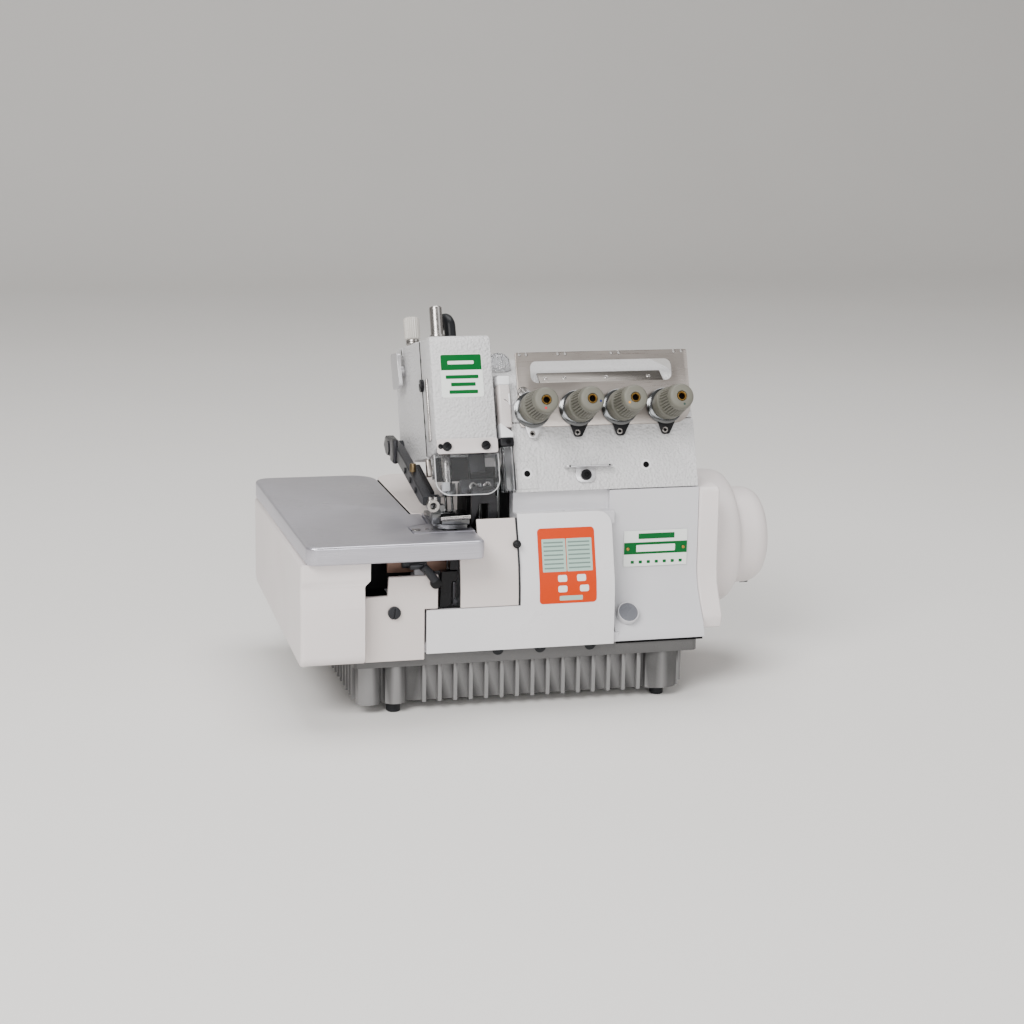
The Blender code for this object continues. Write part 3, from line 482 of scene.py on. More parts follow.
def tube(points, radius, coordinates=UPRIGHT):
    """Round tube with flat ends, along a smooth path through the points."""
    segments, steps = 20, 8
    knots = [Vector(p) for p in points]
    knots = [knots[0] * 2.0 - knots[1], *knots, knots[-1] * 2.0 - knots[-2]]
    path = []
    for a, b, c, d in zip(knots, knots[1:], knots[2:], knots[3:]):
        for step in range(steps):
            t = step / steps
            path.append(0.5 * (2.0 * b + (c - a) * t + (2.0 * a - 5.0 * b + 4.0 * c - d) * t * t
                               + (3.0 * b - a - 3.0 * c + d) * t ** 3))
    path.append(knots[-2])
    data = bmesh.new()
    rings = []
    side = Vector((1.0, 0.0, 0.0))
    for i, point in enumerate(path):
        tangent = (path[min(i + 1, len(path) - 1)] - path[max(i - 1, 0)]).normalized()
        side = (side - tangent * side.dot(tangent)).normalized()
        other = tangent.cross(side)
        rings.append([data.verts.new(point + (side * math.cos(a) + other * math.sin(a)) * radius)
                      for a in (2.0 * math.pi * k / segments for k in range(segments))])
    for lower, upper in zip(rings, rings[1:]):
        for k in range(segments):
            n = (k + 1) % segments
            data.faces.new([lower[k], lower[n], upper[n], upper[k]])
    data.faces.new(list(reversed(rings[0])))
    data.faces.new(rings[-1])
    return settled(data, coordinates)


def merged(shapes):
    """One mesh from several."""
    whole = bmesh.new()
    carrier = bpy.data.meshes.new("carrier")
    for shape in shapes:
        shape.to_mesh(carrier)
        whole.from_mesh(carrier)
        shape.free()
    bpy.data.meshes.remove(carrier)
    return whole


def placed(name, data):
    """New object in the scene."""
    made = bpy.data.objects.new(name, data)
    bpy.context.scene.collection.objects.link(made)
    return made


def cut(shape, cutters):
    """The shape with the cutters taken out of it."""
    objects = []
    for data in (shape, merged(cutters)):
        mesh = bpy.data.meshes.new("cutting")
        data.to_mesh(mesh)
        data.free()
        objects.append(placed("cutting", mesh))
    modifier = objects[0].modifiers.new("cut", 'BOOLEAN')
    modifier.operation = 'DIFFERENCE'
    modifier.solver = 'EXACT'
    modifier.use_self = True
    modifier.object = objects[1]
    result = bmesh.new()
    evaluated = objects[0].evaluated_get(bpy.context.evaluated_depsgraph_get())
    result.from_mesh(evaluated.to_mesh())
    for made in objects:
        bpy.data.objects.remove(made, do_unlink=True)
    return result


def piece(name, body, slot, *parts, replaces=()):
    """One object from (shape, material) pairs, riding on a body."""
    whole = bmesh.new()
    mesh = bpy.data.meshes.new(name)
    for index, (shape, _) in enumerate(parts):
        for face in shape.faces:
            face.smooth = True
            face.material_index = index
        for edge in shape.edges:
            edge.smooth = edge.calc_face_angle(0.0) < SHARP
        shape.to_mesh(mesh)
        whole.from_mesh(mesh)
        shape.free()
    whole.to_mesh(mesh)
    whole.free()
    for _, material in parts:
        mesh.materials.append(material)
    made = placed(name, mesh)
    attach(made, body)
    if replaces:
        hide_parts(*replaces)
    return made


# ---------------------------------------------------------------------------- carried-over solids
def clean_group():
    """Geometry nodes that weld the CAD facets and shade them smooth."""
    group = bpy.data.node_groups.new("weld_facets", 'GeometryNodeTree')
    group.interface.new_socket("Geometry", in_out='INPUT', socket_type='NodeSocketGeometry')
    group.interface.new_socket("Geometry", in_out='OUTPUT', socket_type='NodeSocketGeometry')
    flow = group.nodes.new("NodeGroupInput").outputs[0]
    for attribute in ("custom_normal", "sharp_edge", "sharp_face"):
        remove = group.nodes.new("GeometryNodeRemoveAttribute")
        remove.inputs["Name"].default_value = attribute
        group.links.new(flow, remove.inputs["Geometry"])
        flow = remove.outputs["Geometry"]
    weld = group.nodes.new("GeometryNodeMergeByDistance")
    weld.inputs["Distance"].default_value = 0.00001
    group.links.new(flow, weld.inputs["Geometry"])
    shade = group.nodes.new("GeometryNodeSetShadeSmooth")
    group.links.new(weld.outputs["Geometry"], shade.inputs["Geometry"])
    group.links.new(shade.outputs["Geometry"], group.nodes.new("NodeGroupOutput").inputs[0])
    return group


WELD = clean_group()


def dress(node, material, bevel, segments=3):
    """Give a carried-over CAD solid its material, rounded edges and smooth shading."""
    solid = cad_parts[node]
    solid.data.materials.clear()
    solid.data.materials.append(material)
    weld = solid.modifiers.new("weld", 'NODES')
    weld.node_group = WELD
    flatten = solid.modifiers.new("flatten", 'DECIMATE')
    flatten.decimate_type = 'DISSOLVE'
    flatten.angle_limit = math.radians(0.6)
    if bevel > 0.0:
        soften = solid.modifiers.new("soften", 'BEVEL')
        soften.width = bevel * MM
        soften.segments = segments
        soften.limit_method = 'ANGLE'
        soften.angle_limit = math.radians(28.0)
        soften.harden_normals = True


def dress_solids():
    """Materials and edge rounding of the CAD solids that stay as they are."""
    plan = [
        (CAST, 0.8, ["base_casting"]),
        (ENAMEL, 1.0, ["bed_casting"]),
        (WRINKLED, 1.2, ["arm_casting", "head_casting"]),
        (WRINKLED, 1.5, ["arm_top_cover"]),
        (COVER_PAINT, 1.4, ["looper_cover"]),
        (WARM_WHITE, 1.2, ["motor_adaptor"]),
        (CREAM, 0.5, ["bed_plate", "front_panel", "chip_guard"]),
        (BRIGHT, 0.25, ["lower_knife", "needle_bar", "lower_looper", "upper_looper"]),
        (PLATE, 0.3, ["needle_plate"]),
        (CHROME, 0.25, ["feed_dog", "needle_clamp", "presser_foot"]),
        (GUNMETAL, 0.25, ["upper_knife"]),
        (SATIN, 0.4, ["lifter_lever"]),
        (DARK, 0.5, ["presser_arm", "cover_slide"]),
        (RUBBER, 0.5, [f"rubber_foot_{i}" for i in range(1, 5)]),
        (INK_WHITE, 0.15, ["name_plate"]),
    ]
    for material, bevel, nodes in plan:
        for node in nodes:
            dress(node, material, bevel)


# ---------------------------------------------------------------------------- labels
def bars(rows, level, coordinates):
    """Plain ink bars that stand where a label carries print: (x range, height range) rows."""
    return merged([prism('Y', rectangle(p, q, 0.6, 3), (level - 0.08, level), coordinates)
                   for p, q in rows])


def head_label():
    """Sticker on the face cover: a green band over three bars."""
    front = span("face_cover", LEANING)[0][1] - 0.02
    film = prism('Y', rectangle((69.0, 99.6), (84.6, 115.9), 1.6), (front - 0.25, front), LEANING)
    band = prism('Y', rounded([(69.5, 104.2), (99.1, 104.2), (99.1, 115.4), (69.5, 115.4)],
                              [0.0, 0.0, 1.3, 1.3]), (front - 0.34, front - 0.25), LEANING)
    mark = bars([((74.5, 93.5), (108.4, 110.8))], front - 0.34, LEANING)
    print_rows = bars([((72.5, 96.4), (97.9, 100.6)), ((76.0, 94.0), (92.5, 95.2)),
                       ((74.5, 95.4), (87.1, 89.8))], front - 0.25, LEANING)
    piece("head_label", "root", "name_plate", (film, INK_WHITE), (band, INK_GREEN),
          (mark, INK_WHITE), (print_rows, INK_GREEN))


def type_label():
    """Plain bars and two rivets on the type plate."""
    low, high = span("name_plate")
    front = low[1] - 0.02
    middle = (low[2] + high[2]) / 2.0
    width = (low[0] + 0.1, high[0] - 0.1)
    band = prism('Y', rectangle(width, (middle - 4.2, middle + 4.6)), (front - 0.12, front))
    top_bar = bars([((211.5, 239.0), (middle + 7.0, middle + 11.2))], front, UPRIGHT)
    white_bar = bars([((210.0, 239.5), (middle - 2.4, middle + 2.6))], front - 0.12, UPRIGHT)
    small = bars([((206.0 + 6.1 * i, 208.6 + 6.1 * i), (low[2] + 2.0, low[2] + 4.3))
                  for i in range(7)], front, UPRIGHT)
    parts = [(band, INK_GREEN), (top_bar, INK_GREEN), (white_bar, INK_WHITE), (small, INK_GREEN)]
    for x in (low[0] + 3.0, high[0] - 3.0):
        parts.append((disc((x, front - 0.1, middle), FORWARD, 1.2, 0.6), BRASS))
    piece("type_label_print", "root", "name_plate", *parts)


def cover_label():
    """Orange film on the looper cover, with plain blocks and lines in place of print."""
    front = span("looper_cover")[0][1] - 0.02
    bend, upper_bend, top = 82.0, 92.0, 139.6
    lean = math.atan2(-3.8 + 5.0, upper_bend - bend)
    rise = math.atan2(9.5 + 3.8, top - upper_bend)

    def at(z):
        """Front of the leaning cover at a height."""
        if z < bend:
            return front
        if z < upper_bend:
            return front + (z - bend) * math.tan(lean)
        return front + (upper_bend - bend) * math.tan(lean) + (z - upper_bend) * math.tan(rise)

    def patch(x_range, z_range, height, radius=0.0):
        """Film that follows the cover's bend."""
        data = bmesh.new()
        outline = rectangle(x_range, z_range, radius, 5)
        levels = [z for z in (bend, 87.0, upper_bend) if z_range[0] < z < z_range[1]]
        data.faces.new([data.verts.new((x, at(z) - height, z)) for x, z in outline])
        for z in levels:
            bmesh.ops.bisect_plane(data, geom=data.verts[:] + data.edges[:] + data.faces[:],
                                   plane_co=(0.0, 0.0, z), plane_no=(0.0, 0.0, 1.0))
        for vertex in data.verts:
            vertex.co.y = at(vertex.co.z) - height
        extruded = bmesh.ops.extrude_face_region(data, geom=data.faces[:])
        for vertex in [g for g in extruded["geom"] if isinstance(g, bmesh.types.BMVert)]:
            vertex.co.y += 0.15
        return settled(data, UPRIGHT)

    orange = patch((131.3, 173.4), (76.5, 129.0), 0.2, 2.6)
    panels = merged([patch((134.2, 151.6), (99.0, 121.6), 0.3, 0.6),
                     patch((152.2, 171.0), (99.0, 121.6), 0.3, 0.6)])
    lines = merged([patch((x, x + w), (z, z + 1.0), 0.36) for x, w in ((135.4, 14.4), (153.4, 16.0))
                    for z in (101.0, 104.0, 107.0, 110.0, 113.0, 116.0, 118.6)])
    blocks = merged([patch((x, x + 6.6), (z, z + 4.6), 0.3, 1.2) for x, z in
                     ((145.0, 92.0), (159.0, 92.0), (145.0, 84.6), (161.0, 84.6))])
    foot = patch((146.0, 163.0), (78.6, 82.0), 0.3, 0.6)
    piece("cover_label", "cover", "name_plate", (orange, INK_ORANGE), (panels, INK_MINT),
          (lines, INK_GREY), (blocks, INK_WHITE), (foot, INK_MINT))


# ---------------------------------------------------------------------------- head
def head_detail():
    """Face cover, and the spring, seam, pins and hole on the head's left side."""
    dress("face_cover", WRINKLED, 1.6, 4)
    x0 = span("face_cover", LEANING)[0][0]
    strip = box((x0 - 1.2, x0 - 0.1), (-16.5, -11.0), (56.0, 101.0), LEANING, 0.4)
    screw = slotted((x0 - 0.1, 1.0, 99.0), LEFTWARD, 4.6, 2.2, LEANING, 0.9, 1.1)
    piece("head_spring", "root", "bright_steel", (strip, BRIGHT), (screw, BLACK))
    seam = box((x0 - 0.15, x0 + 0.4), (4.2, 4.9), (48.0, 132.0), LEANING, 0.0)
    pins = [box((x0 - 0.2, x0 + 0.3), (1.6, 2.4), (u, u + 2.6), LEANING, 0.0)
            for u in (60.0, 71.0, 116.0)]
    b, u = 67.0, 136.6
    eye = ring((x0 - 0.05, b, u), LEFTWARD, 3.4, 2.4, 0.5, LEANING)
    pit = disc((x0 - 0.02, b, u), LEFTWARD, 2.5, 0.25, LEANING)
    piece("head_seams", "root", "dark_steel", (merged([seam, *pins]), HOLLOW), (eye, WRINKLED),
          (pit, HOLLOW))


def head_top():
    """Knurled pressure cap, guard tube, oil pipe and the oil dome on the arm."""
    dress("needle_bar_guard", BRIGHT, 0.2)
    seat = (69.0, 58.0, 140.7)
    cap = turned([(0.0, 0.0), (4.4, 0.0), (4.4, 3.6), (4.9, 3.9, 0.2), (5.9, 4.4, 0.5),
                  (6.0, 18.6, 0.5), (5.6, 20.0, 0.3), (4.6, 20.6), (3.0, 20.4), (0.0, 20.2)],
                 seat, UPWARD, LEANING, 120, 20)
    collar = turned([(4.5, 0.2), (5.0, 0.5), (5.0, 1.4), (4.6, 1.7), (5.0, 2.0), (5.0, 3.2),
                     (4.5, 3.6)], seat, UPWARD, LEANING, 48)
    piece("pressure_cap", "pressure_adjuster", "clear_plastic", (cap, MILKY), (collar, BRIGHT),
          replaces=["pressure_screw"])
    pipe = tube([(87.5, 12.0, 135.0), (87.5, 12.0, 141.0), (87.4, 13.0, 147.0), (86.0, 17.0, 151.0),
                 (83.5, 22.0, 150.0), (81.5, 25.5, 145.0)], 4.3, LEANING)
    lips = [ring((87.5, 12.0, 135.2), UPWARD, 5.0, 3.2, 1.6, LEANING),
            ring((83.6, 21.6, 150.3), (-0.5, 0.8, -0.35), 5.2, 3.6, 1.8, LEANING)]
    piece("oil_pipe", "root", "black_rubber", (pipe, RUBBER), (merged(lips), RUBBER),
          replaces=["oil_elbow"])
    dome = turned([(9.2, 0.0), (9.6, 0.6), (9.2, 1.4, 0.3), (9.0, 4.0, 0.8), (8.0, 8.0, 1.2),
                   (5.2, 11.2, 0.8), (2.0, 12.4), (0.0, 12.5)],
                  (120.5, 82.0, span("oil_window")[0][2]), UPWARD, UPRIGHT, 72, 9)
    piece("oil_dome", "root", "clear_plastic", (dome, CLEAR), replaces=["oil_window"])


def eye_shield():
    """Clear shield that swings up on its milky bracket."""
    bracket = prism('Y', rectangle((62.6, 106.8), (44.0, 54.8), 1.8), (-31.0, -29.3), LEANING, 0.35)
    piece("shield_bracket", "root", "clear_plastic", (bracket, PALE_TUBE), replaces=["guard_bracket"])
    screws = [slotted((x, -31.0, 49.2), FORWARD, 3.3, 2.0, LEANING, turn, 0.8)
              for x, turn in ((69.6, 0.8), (97.8, 0.5))]
    spot = disc((65.0, -31.0, 49.5), FORWARD, 1.9, 0.7, LEANING)
    piece("shield_screws", "root", "dark_steel", (merged([*screws, spot]), BLACK))
    outline = rounded([(59.4, 43.2), (59.4, 14.0), (106.2, 14.0), (106.2, 43.2)],
                      [0.6, 11.0, 11.0, 0.6], 10)
    inset = rounded([(60.0, 44.5), (60.0, 14.6), (105.6, 14.6), (105.6, 44.5)],
                    [0.6, 10.5, 10.5, 0.6], 10)
    pane = prism('Y', inset, (-32.5, -31.6), LEANING)
    pane = cut(pane, [box((50.0, 120.0), (-40.0, -20.0), (42.6, 50.0), LEANING, 0.0)])
    rim = cut(prism('Y', outline, (-32.7, -31.4), LEANING, 0.15, 2),
              [prism('Y', inset, (-40.0, -20.0), LEANING)])
    sides = [box((x, x + 1.0), (-31.6, -22.0), (27.0, 42.6), LEANING, 0.3)
             for x in (59.4, 105.2)]
    piece("eye_shield", "needle_shield", "clear_plastic", (pane, CLEAR), (merged(sides), CLEAR),
          (rim, CLEAR_RIM), replaces=["eye_guard"])


def needle_area():
    """What shows under the head: drive frame, needle clamp's screws and presser links."""
    panel = box((67.5, 100.5), (5.2, 7.8), (29.5, 51.0), LEANING, 0.5)
    web = box((92.0, 103.8), (-1.0, 3.6), (24.0, 58.0), LEANING, 0.8)
    piece("drive_frame", "root", "dark_steel", (panel, HOLLOW), (web, GUNMETAL))
    block = box((82.6, 107.0), (-9.0, -4.9), (17.6, 28.4), LEANING, 0.6)
    screws = [disc((x, -9.0, 23.2), FORWARD, 3.0, 1.5, LEANING, 0.5) for x in (91.6, 102.0)]
    wells = [disc((x, -10.4, 23.2), FORWARD, 1.5, 0.3, LEANING, 0.1) for x in (91.6, 102.0)]
    piece("spreader_block", "root", "dark_steel", (block, GUNMETAL), (merged(screws), BRIGHT),
          (merged(wells), HOLLOW))
    tip = box((69.6, 74.8), (-9.0, -4.8), (20.6, 27.0), LEANING, 0.5)
    pin = disc((75.2, -6.9, 23.6), RIGHTWARD, 1.9, 2.4, LEANING, 0.4)
    piece("needle_clamp_tip", "needle_drive", "bright_steel", (tip, WHITE), (pin, BLACK))
    link = box((62.9, 66.6), (8.0, 14.0), (34.0, 48.0), LEANING, 0.7)
    piece("head_underside", "root", "bright_steel", (link, BRUSHED))
    # Near-black block of painted shade behind the eye shield, where the throat between head and arm
    # lies in shade; two chrome rods stand before it.
    throat_shade = merged([box((86.8, 118.0), (34.0, 66.0), (122.5, 152.0), UPRIGHT, 1.0),
                    box((92.0, 116.0), (44.0, 66.0), (150.0, 163.0), UPRIGHT, 1.0)])
    rods = merged([disc((x, 33.5, 118.0), UPWARD, 2.0, 40.0, UPRIGHT, 0.5) for x in (96.0, 109.0)])
    piece("throat_shade_block", "root", "dark_steel", (throat_shade, HOLLOW), (rods, CHROME))
    clamp_ring = ring((56.9, 14.6, 147.6), FORWARD, 4.6, 2.3, 5.0, UPRIGHT)
    jaws = [box((x, x + 2.4), (11.0, 15.0), (150.6, 153.6), UPRIGHT, 0.4) for x in (53.9, 57.5)]
    post = box((56.0, 62.6), (10.4, 14.6), (134.6, 144.6), UPRIGHT, 0.8)
    toe = prism('X', rounded([(8.0, 133.8), (8.0, 138.6), (13.0, 141.0), (26.0, 141.0), (26.0, 133.8)],
                             [1.0, 2.0, 1.5, 1.0, 0.0]), (62.6, 82.8), UPRIGHT, 0.5)
    hinge = tube([(62.0, 8.6, 138.4), (72.0, 8.6, 138.8), (83.2, 8.6, 139.2)], 1.5, UPRIGHT)
    piece("foot_links", "presser", "bright_steel", (merged([clamp_ring, *jaws]), BRIGHT),
          (merged([toe, post]), CHROME), (hinge, BRIGHT))
    pivot = box((48.6, 52.2), (110.0, 124.0), (158.0, 176.0), UPRIGHT, 1.2)
    web = prism('X', rounded([(27.0, 149.0), (80.0, 157.0), (80.0, 164.0), (30.0, 154.0)],
                             [1.5] * 4), (57.7, 62.0), UPRIGHT, 0.8)
    bolts = merged([disc((50.3, y, z), LEFTWARD, 2.2, 0.8, UPRIGHT, 0.3)
                    for y, z in ((40.0, 153.0), (58.0, 156.5), (76.0, 160.0))])
    stub = disc((53.0, 62.0, 161.6), UPWARD, 2.3, 6.5, UPRIGHT, 0.6)
    piece("presser_pivot", "presser", "dark_steel", (pivot, GUNMETAL), (web, BLACK), (bolts, BLACK),
          (stub, OLD_BRASS))


# ---------------------------------------------------------------------------- thread path
def thread_guides():
    """Pale channel tube, black clamp block and clear duct beside the head."""
    span_b = (-28.0, -17.5)
    half = prism('Z', rectangle((110.4, 119.3), span_b, 1.8), (62.5, 93.0), LEANING, 0.3)
    cap = box((110.2, 119.3), (-28.3, -17.5), (93.0, 99.4), LEANING, 0.8, 3)
    collar = prism('Y', [(110.2, 55.0), (119.3, 55.0), (119.3, 58.5), (110.2, 65.5)],
                   (-28.3, -17.5), LEANING, 0.5)
    notch = prism('Y', [(114.0, 82.5), (115.0, 82.5), (118.4, 78.0), (118.4, 86.5), (117.6, 86.5),
                        (117.6, 79.6)], (-28.4, -28.0), LEANING)
    piece("thread_channel_tube", "root", "white_plastic", (half, PALE_TUBE),
          (merged([cap, collar, notch]), WHITE), replaces=["thread_channel"])
    clamp = box((109.6, 119.3), (-28.4, -16.0), (48.7, 54.7), LEANING, 0.6)
    screw = disc((115.2, -28.4, 51.8), FORWARD, 1.7, 0.8, LEANING)
    piece("thread_clamp_block", "root", "dark_steel", (clamp, BLACK), (screw, HOLLOW),
          replaces=["thread_clamp"])
    duct = prism('Z', rectangle((109.8, 119.3), span_b, 2.0), (16.6, 48.4), LEANING, 0.4)
    bore = prism('Z', rectangle((111.2, 117.9), (-26.6, -18.9), 1.2), (10.0, 60.0), LEANING)
    lines = [box((x, x + 0.7), (-28.3, -27.9), (17.0, 48.0), LEANING, 0.1) for x in (110.9, 117.6)]
    piece("thread_duct", "root", "clear_plastic", (cut(duct, [bore]), CLEAR),
          (merged(lines), GUNMETAL), replaces=["thread_tube"])


def tension_sheet():
    """Stainless tension plate with its window, folded ledge and drilled holes."""
    front, back = -24.6, -23.1
    edge_holes = (128.5, 133.7, 157.2, 162.8, 197.4, 203.1, 245.0, 250.8)
    ledge_holes = (148.1, 162.3, 193.9, 225.9)
    ledge_face = (0, -0.72, 0.72)
    plate = prism('Y', rounded([(125.5, 62.2), (255.0, 62.2), (255.0, 116.7), (125.5, 116.7)],
                               [3.0, 14.0, 1.5, 1.5], 10), (front, back), LEANING, 0.25, 2)
    window = prism('Y', rectangle((136.0, 242.5), (94.2, 110.2), 5.0), (-30.0, -20.0), LEANING)
    holes = [disc((x, -30.0, 115.1), (0, 1, 0), 1.0, 9.0, LEANING, 0.1, 16) for x in edge_holes]
    plate = cut(plate, [window, *holes])
    ledge = prism('X', [(front + 0.2, 93.2), (back - 0.1, 92.2), (-14.2, 102.2), (-15.2, 103.2)],
                  (143.0, 236.0), LEANING, 0.2, 2)
    eyelets = [ring((x, -19.4, 98.2), ledge_face, 1.7, 0.8, 0.5, LEANING, 20) for x in ledge_holes]
    dots = [disc((x, -19.4, 98.2), ledge_face, 0.9, 0.3, LEANING, 0.1, 16) for x in ledge_holes]
    rims = [ring((x, front + 0.1, 115.1), FORWARD, 1.45, 1.0, 0.35, LEANING, 20)
            for x in edge_holes]
    screw = slotted((129.7, front, 87.5), FORWARD, 3.9, 1.3, LEANING, -0.8, 0.8)
    shade = ring((129.7, front + 0.05, 87.5), FORWARD, 4.3, 3.7, 0.2, LEANING)
    # The folded ledge takes the shaded copy of the stainless: painted shade.
    piece("tension_sheet", "root", "bright_steel", (plate, BRUSHED), (ledge, SHADED_STAINLESS),
          (merged([*eyelets, *rims]), BRIGHT), (merged(dots), HOLLOW), (screw, BRIGHT),
          (shade, DARK), replaces=["tension_plate"])


def tension_unit(number):
    """Tension discs, their thread guide and the ribbed nut, one of four alike."""
    low, high = span(f"tension_knob_{number}", LEANING)
    x = (low[0] + high[0]) / 2.0
    u = (low[2] + high[2]) / 2.0
    start = high[1]
    base = span(f"tension_discs_{number}", LEANING)[1][1]
    felt = turned([(0.0, 0.0), (8.0, 0.0), (8.0, 0.5), (12.8, 0.6), (13.2, 0.9), (12.6, 1.25),
                   (10.4, 1.7), (9.8, 2.1), (9.8, 2.3), (10.4, 2.7), (12.6, 3.15), (13.2, 3.5),
                   (12.8, 3.85), (8.0, 4.2), (0.0, 4.4)], (x, base, u), FORWARD, LEANING, 72)
    guide = prism('Y', rounded([(x - 7.5, u - 6.0), (x - 3.5, u - 20.5), (x + 2.0, u - 20.5),
                                (x + 9.0, u - 8.0)], [0.0, 2.4, 2.4, 0.0]),
                  (base - 1.5, base - 0.3), LEANING, 0.25, 2)
    thread_hole = (x - 1.2, base - 1.5, u - 17.3)
    eyelet = ring(thread_hole, FORWARD, 2.2, 1.1, 0.9, LEANING, 28)
    well = disc(thread_hole, FORWARD, 1.1, 0.3, LEANING, 0.1, 20)
    guide_finish = SATIN if number == 1 else BLACK
    piece(f"tension_disc_pair_{number}", "root", "bright_steel", (felt, CHROME),
          (guide, guide_finish), (eyelet, BRIGHT), (well, HOLLOW),
          replaces=[f"tension_discs_{number}"])
    end = start - low[1]
    skirt = [(0.0, 0.0), (10.0, 0.0), (10.4, 0.4), (10.4, 3.0), (9.6, 3.5), (9.6, 4.2), (11.0, 4.6),
             (11.35, 5.2), (11.35, 13.4), (11.1, 14.2)]
    groove = [(9.6, 14.5), (9.2, 15.0), (9.2, 16.8)]
    barrel = [(10.4, 17.2, 0.0), (10.8, 17.8, 0.2), (10.75, 18.8, 1.1), (9.9, end - 7.4, 1.2),
              (9.7, end - 5.6, 0.9), (9.6, end - 5.0, 0.2), (9.5, end - 4.4, 0.0),
              (9.1, end - 1.9, 0.0), (8.5, end - 0.6, 0.0), (7.6, end, 0.0), (3.9, end, 0.0),
              (3.6, end - 0.6, 0.0), (3.6, end - 5.0, 0.0), (0.0, end - 5.0, 0.0)]
    ribbed = turned(skirt + groove + barrel, (x, start, u), FORWARD, LEANING, 240, 30)
    bush = turned([(3.5, end - 4.9), (3.5, end - 0.8), (3.2, end - 0.4), (2.5, end - 0.4),
                   (2.2, end - 0.8), (2.1, end - 4.9)], (x, start, u), FORWARD, LEANING, 40)
    bore = disc((x, start - end + 4.9, u), FORWARD, 2.2, 0.3, LEANING, 0.1)
    groove_band = turned([(9.25, 14.9), (9.45, 15.1), (9.45, 16.5), (9.25, 16.7)], (x, start, u),
                       FORWARD, LEANING, 64)
    angle = (-1.75, -0.35, -2.5, -1.35)[number - 1]
    dot = disc((x + 6.0 * math.cos(angle), start - end, u + 6.0 * math.sin(angle)), FORWARD,
               0.85, 0.12, LEANING, 0.05, 20)
    piece(f"tension_nut_{number}", f"tension_{number}", "knob_plastic", (ribbed, KNOB),
          (bush, BRASS), (bore, HOLLOW), (groove_band, BLACK), (dot, DOTS[number - 1]),
          replaces=[f"tension_knob_{number}"])


def arm_detail():
    """Screw holes in the arm and the small thread bracket between them."""
    face = span("arm_casting", LEANING)[0][1]
    rings = []
    wells = []
    for x, u, level in ((128.5, 28.9, face), (217.9, 32.6, face + 0.7)):
        rings.append(ring((x, level, u), FORWARD, 4.0, 2.3, 0.25, LEANING))
        wells.append(disc((x, level, u), FORWARD, 2.3, 0.2, LEANING, 0.1))
    piece("arm_screw_holes", "root", "machine_paint", (merged(rings), COVER_PAINT),
          (merged(wells), HOLLOW))
    front = span("guide_bracket", LEANING)[1][1]
    tab = prism('Y', rounded([(164.4, 21.0), (178.8, 21.0), (178.8, 33.0), (164.4, 33.0)],
                             [4.5, 4.5, 0.0, 0.0]), (front - 1.2, front), LEANING, 0.3, 2)
    wing = prism('Z', rounded([(156.0, front - 7.0), (191.0, front - 7.0), (191.0, front - 0.6),
                               (156.0, front - 0.6)], [2.0, 2.0, 0.3, 0.3]), (31.8, 33.0), LEANING,
                 0.25, 2)
    ends = (158.8, 188.4)
    eyes = [ring((x, front - 4.2, 32.9), UPWARD, 1.3, 0.7, 0.3, LEANING, 20) for x in ends]
    dots = [disc((x, front - 7.0, 32.4), FORWARD, 0.7, 0.2, LEANING, 0.1, 16) for x in ends]
    screw = socket_head((171.6, front - 1.2, 26.4), FORWARD, 3.9, 2.8, LEANING)
    piece("thread_bracket", "root", "bright_steel", (merged([tab, wing]), SATIN),
          (merged(eyes), BRIGHT), (merged(dots), HOLLOW), (screw, BLACK),
          replaces=["guide_bracket"])


# ---------------------------------------------------------------------------- bed
def bed_detail():
    """Ledge screws, the dark joint and cushions above the flange, and the oil sight plug."""
    bed_low, bed_high = span("bed_casting")
    flange = span("base_casting")[1][2]
    ledge = [(x, 19.6, 137.5) for x in (140.9, 164.4)]
    rims = [ring(place, UPWARD, 3.1, 2.0, 0.5) for place in ledge]
    wells = [disc(place, UPWARD, 2.0, 0.3, UPRIGHT, 0.1) for place in ledge]
    piece("ledge_screws", "root", "machine_paint", (merged(rims), COVER_PAINT),
          (merged(wells), HOLLOW))
    gasket = box((bed_low[0] + 1.0, bed_high[0] - 1.5), (-0.2, 185.0), (flange - 0.6, flange + 0.35),
                 UPRIGHT, 0.0)
    joint = box((190.0, 255.6), (-1.65, 4.0), (flange - 0.9, flange + 0.5), UPRIGHT, 0.1)
    cushions = []
    for x in (102.4, 133.4, 170.6):
        cushion = turned([(0.0, 0.0), (4.2, 0.0), (4.2, 0.5), (3.8, 0.8), (0.0, 0.8)],
                         (x, -0.4, flange - 0.4), FORWARD, UPRIGHT, 32)
        above = box((80.0, 200.0), (-10.0, 10.0), (flange + 0.3, flange + 10.0), UPRIGHT, 0.0)
        cushions.append(cut(cushion, [above]))
    piece("bed_cushions", "root", "black_rubber", (gasket, HOLLOW), (joint, HOLLOW),
          (merged(cushions), RUBBER))
    seat = (199.9, 6.4, 62.6)
    tilt = math.radians(37.0)
    axis = (0.0, -math.cos(tilt), math.sin(tilt))
    plug = turned([(0.0, 0.0), (7.0, 0.0), (7.0, 4.2), (6.6, 4.7), (5.6, 4.9), (0.0, 4.6)],
                  seat, axis, UPRIGHT, 64)
    rim = turned([(7.0, 0.0), (7.9, 0.0), (7.9, 4.6), (7.6, 5.0), (7.2, 4.9), (7.0, 4.4)],
                 seat, axis, UPRIGHT, 64)
    piece("sight_window", "root", "grey_plastic", (plug, GREY_CAP), (rim, ENAMEL),
          replaces=["sight_plug"])


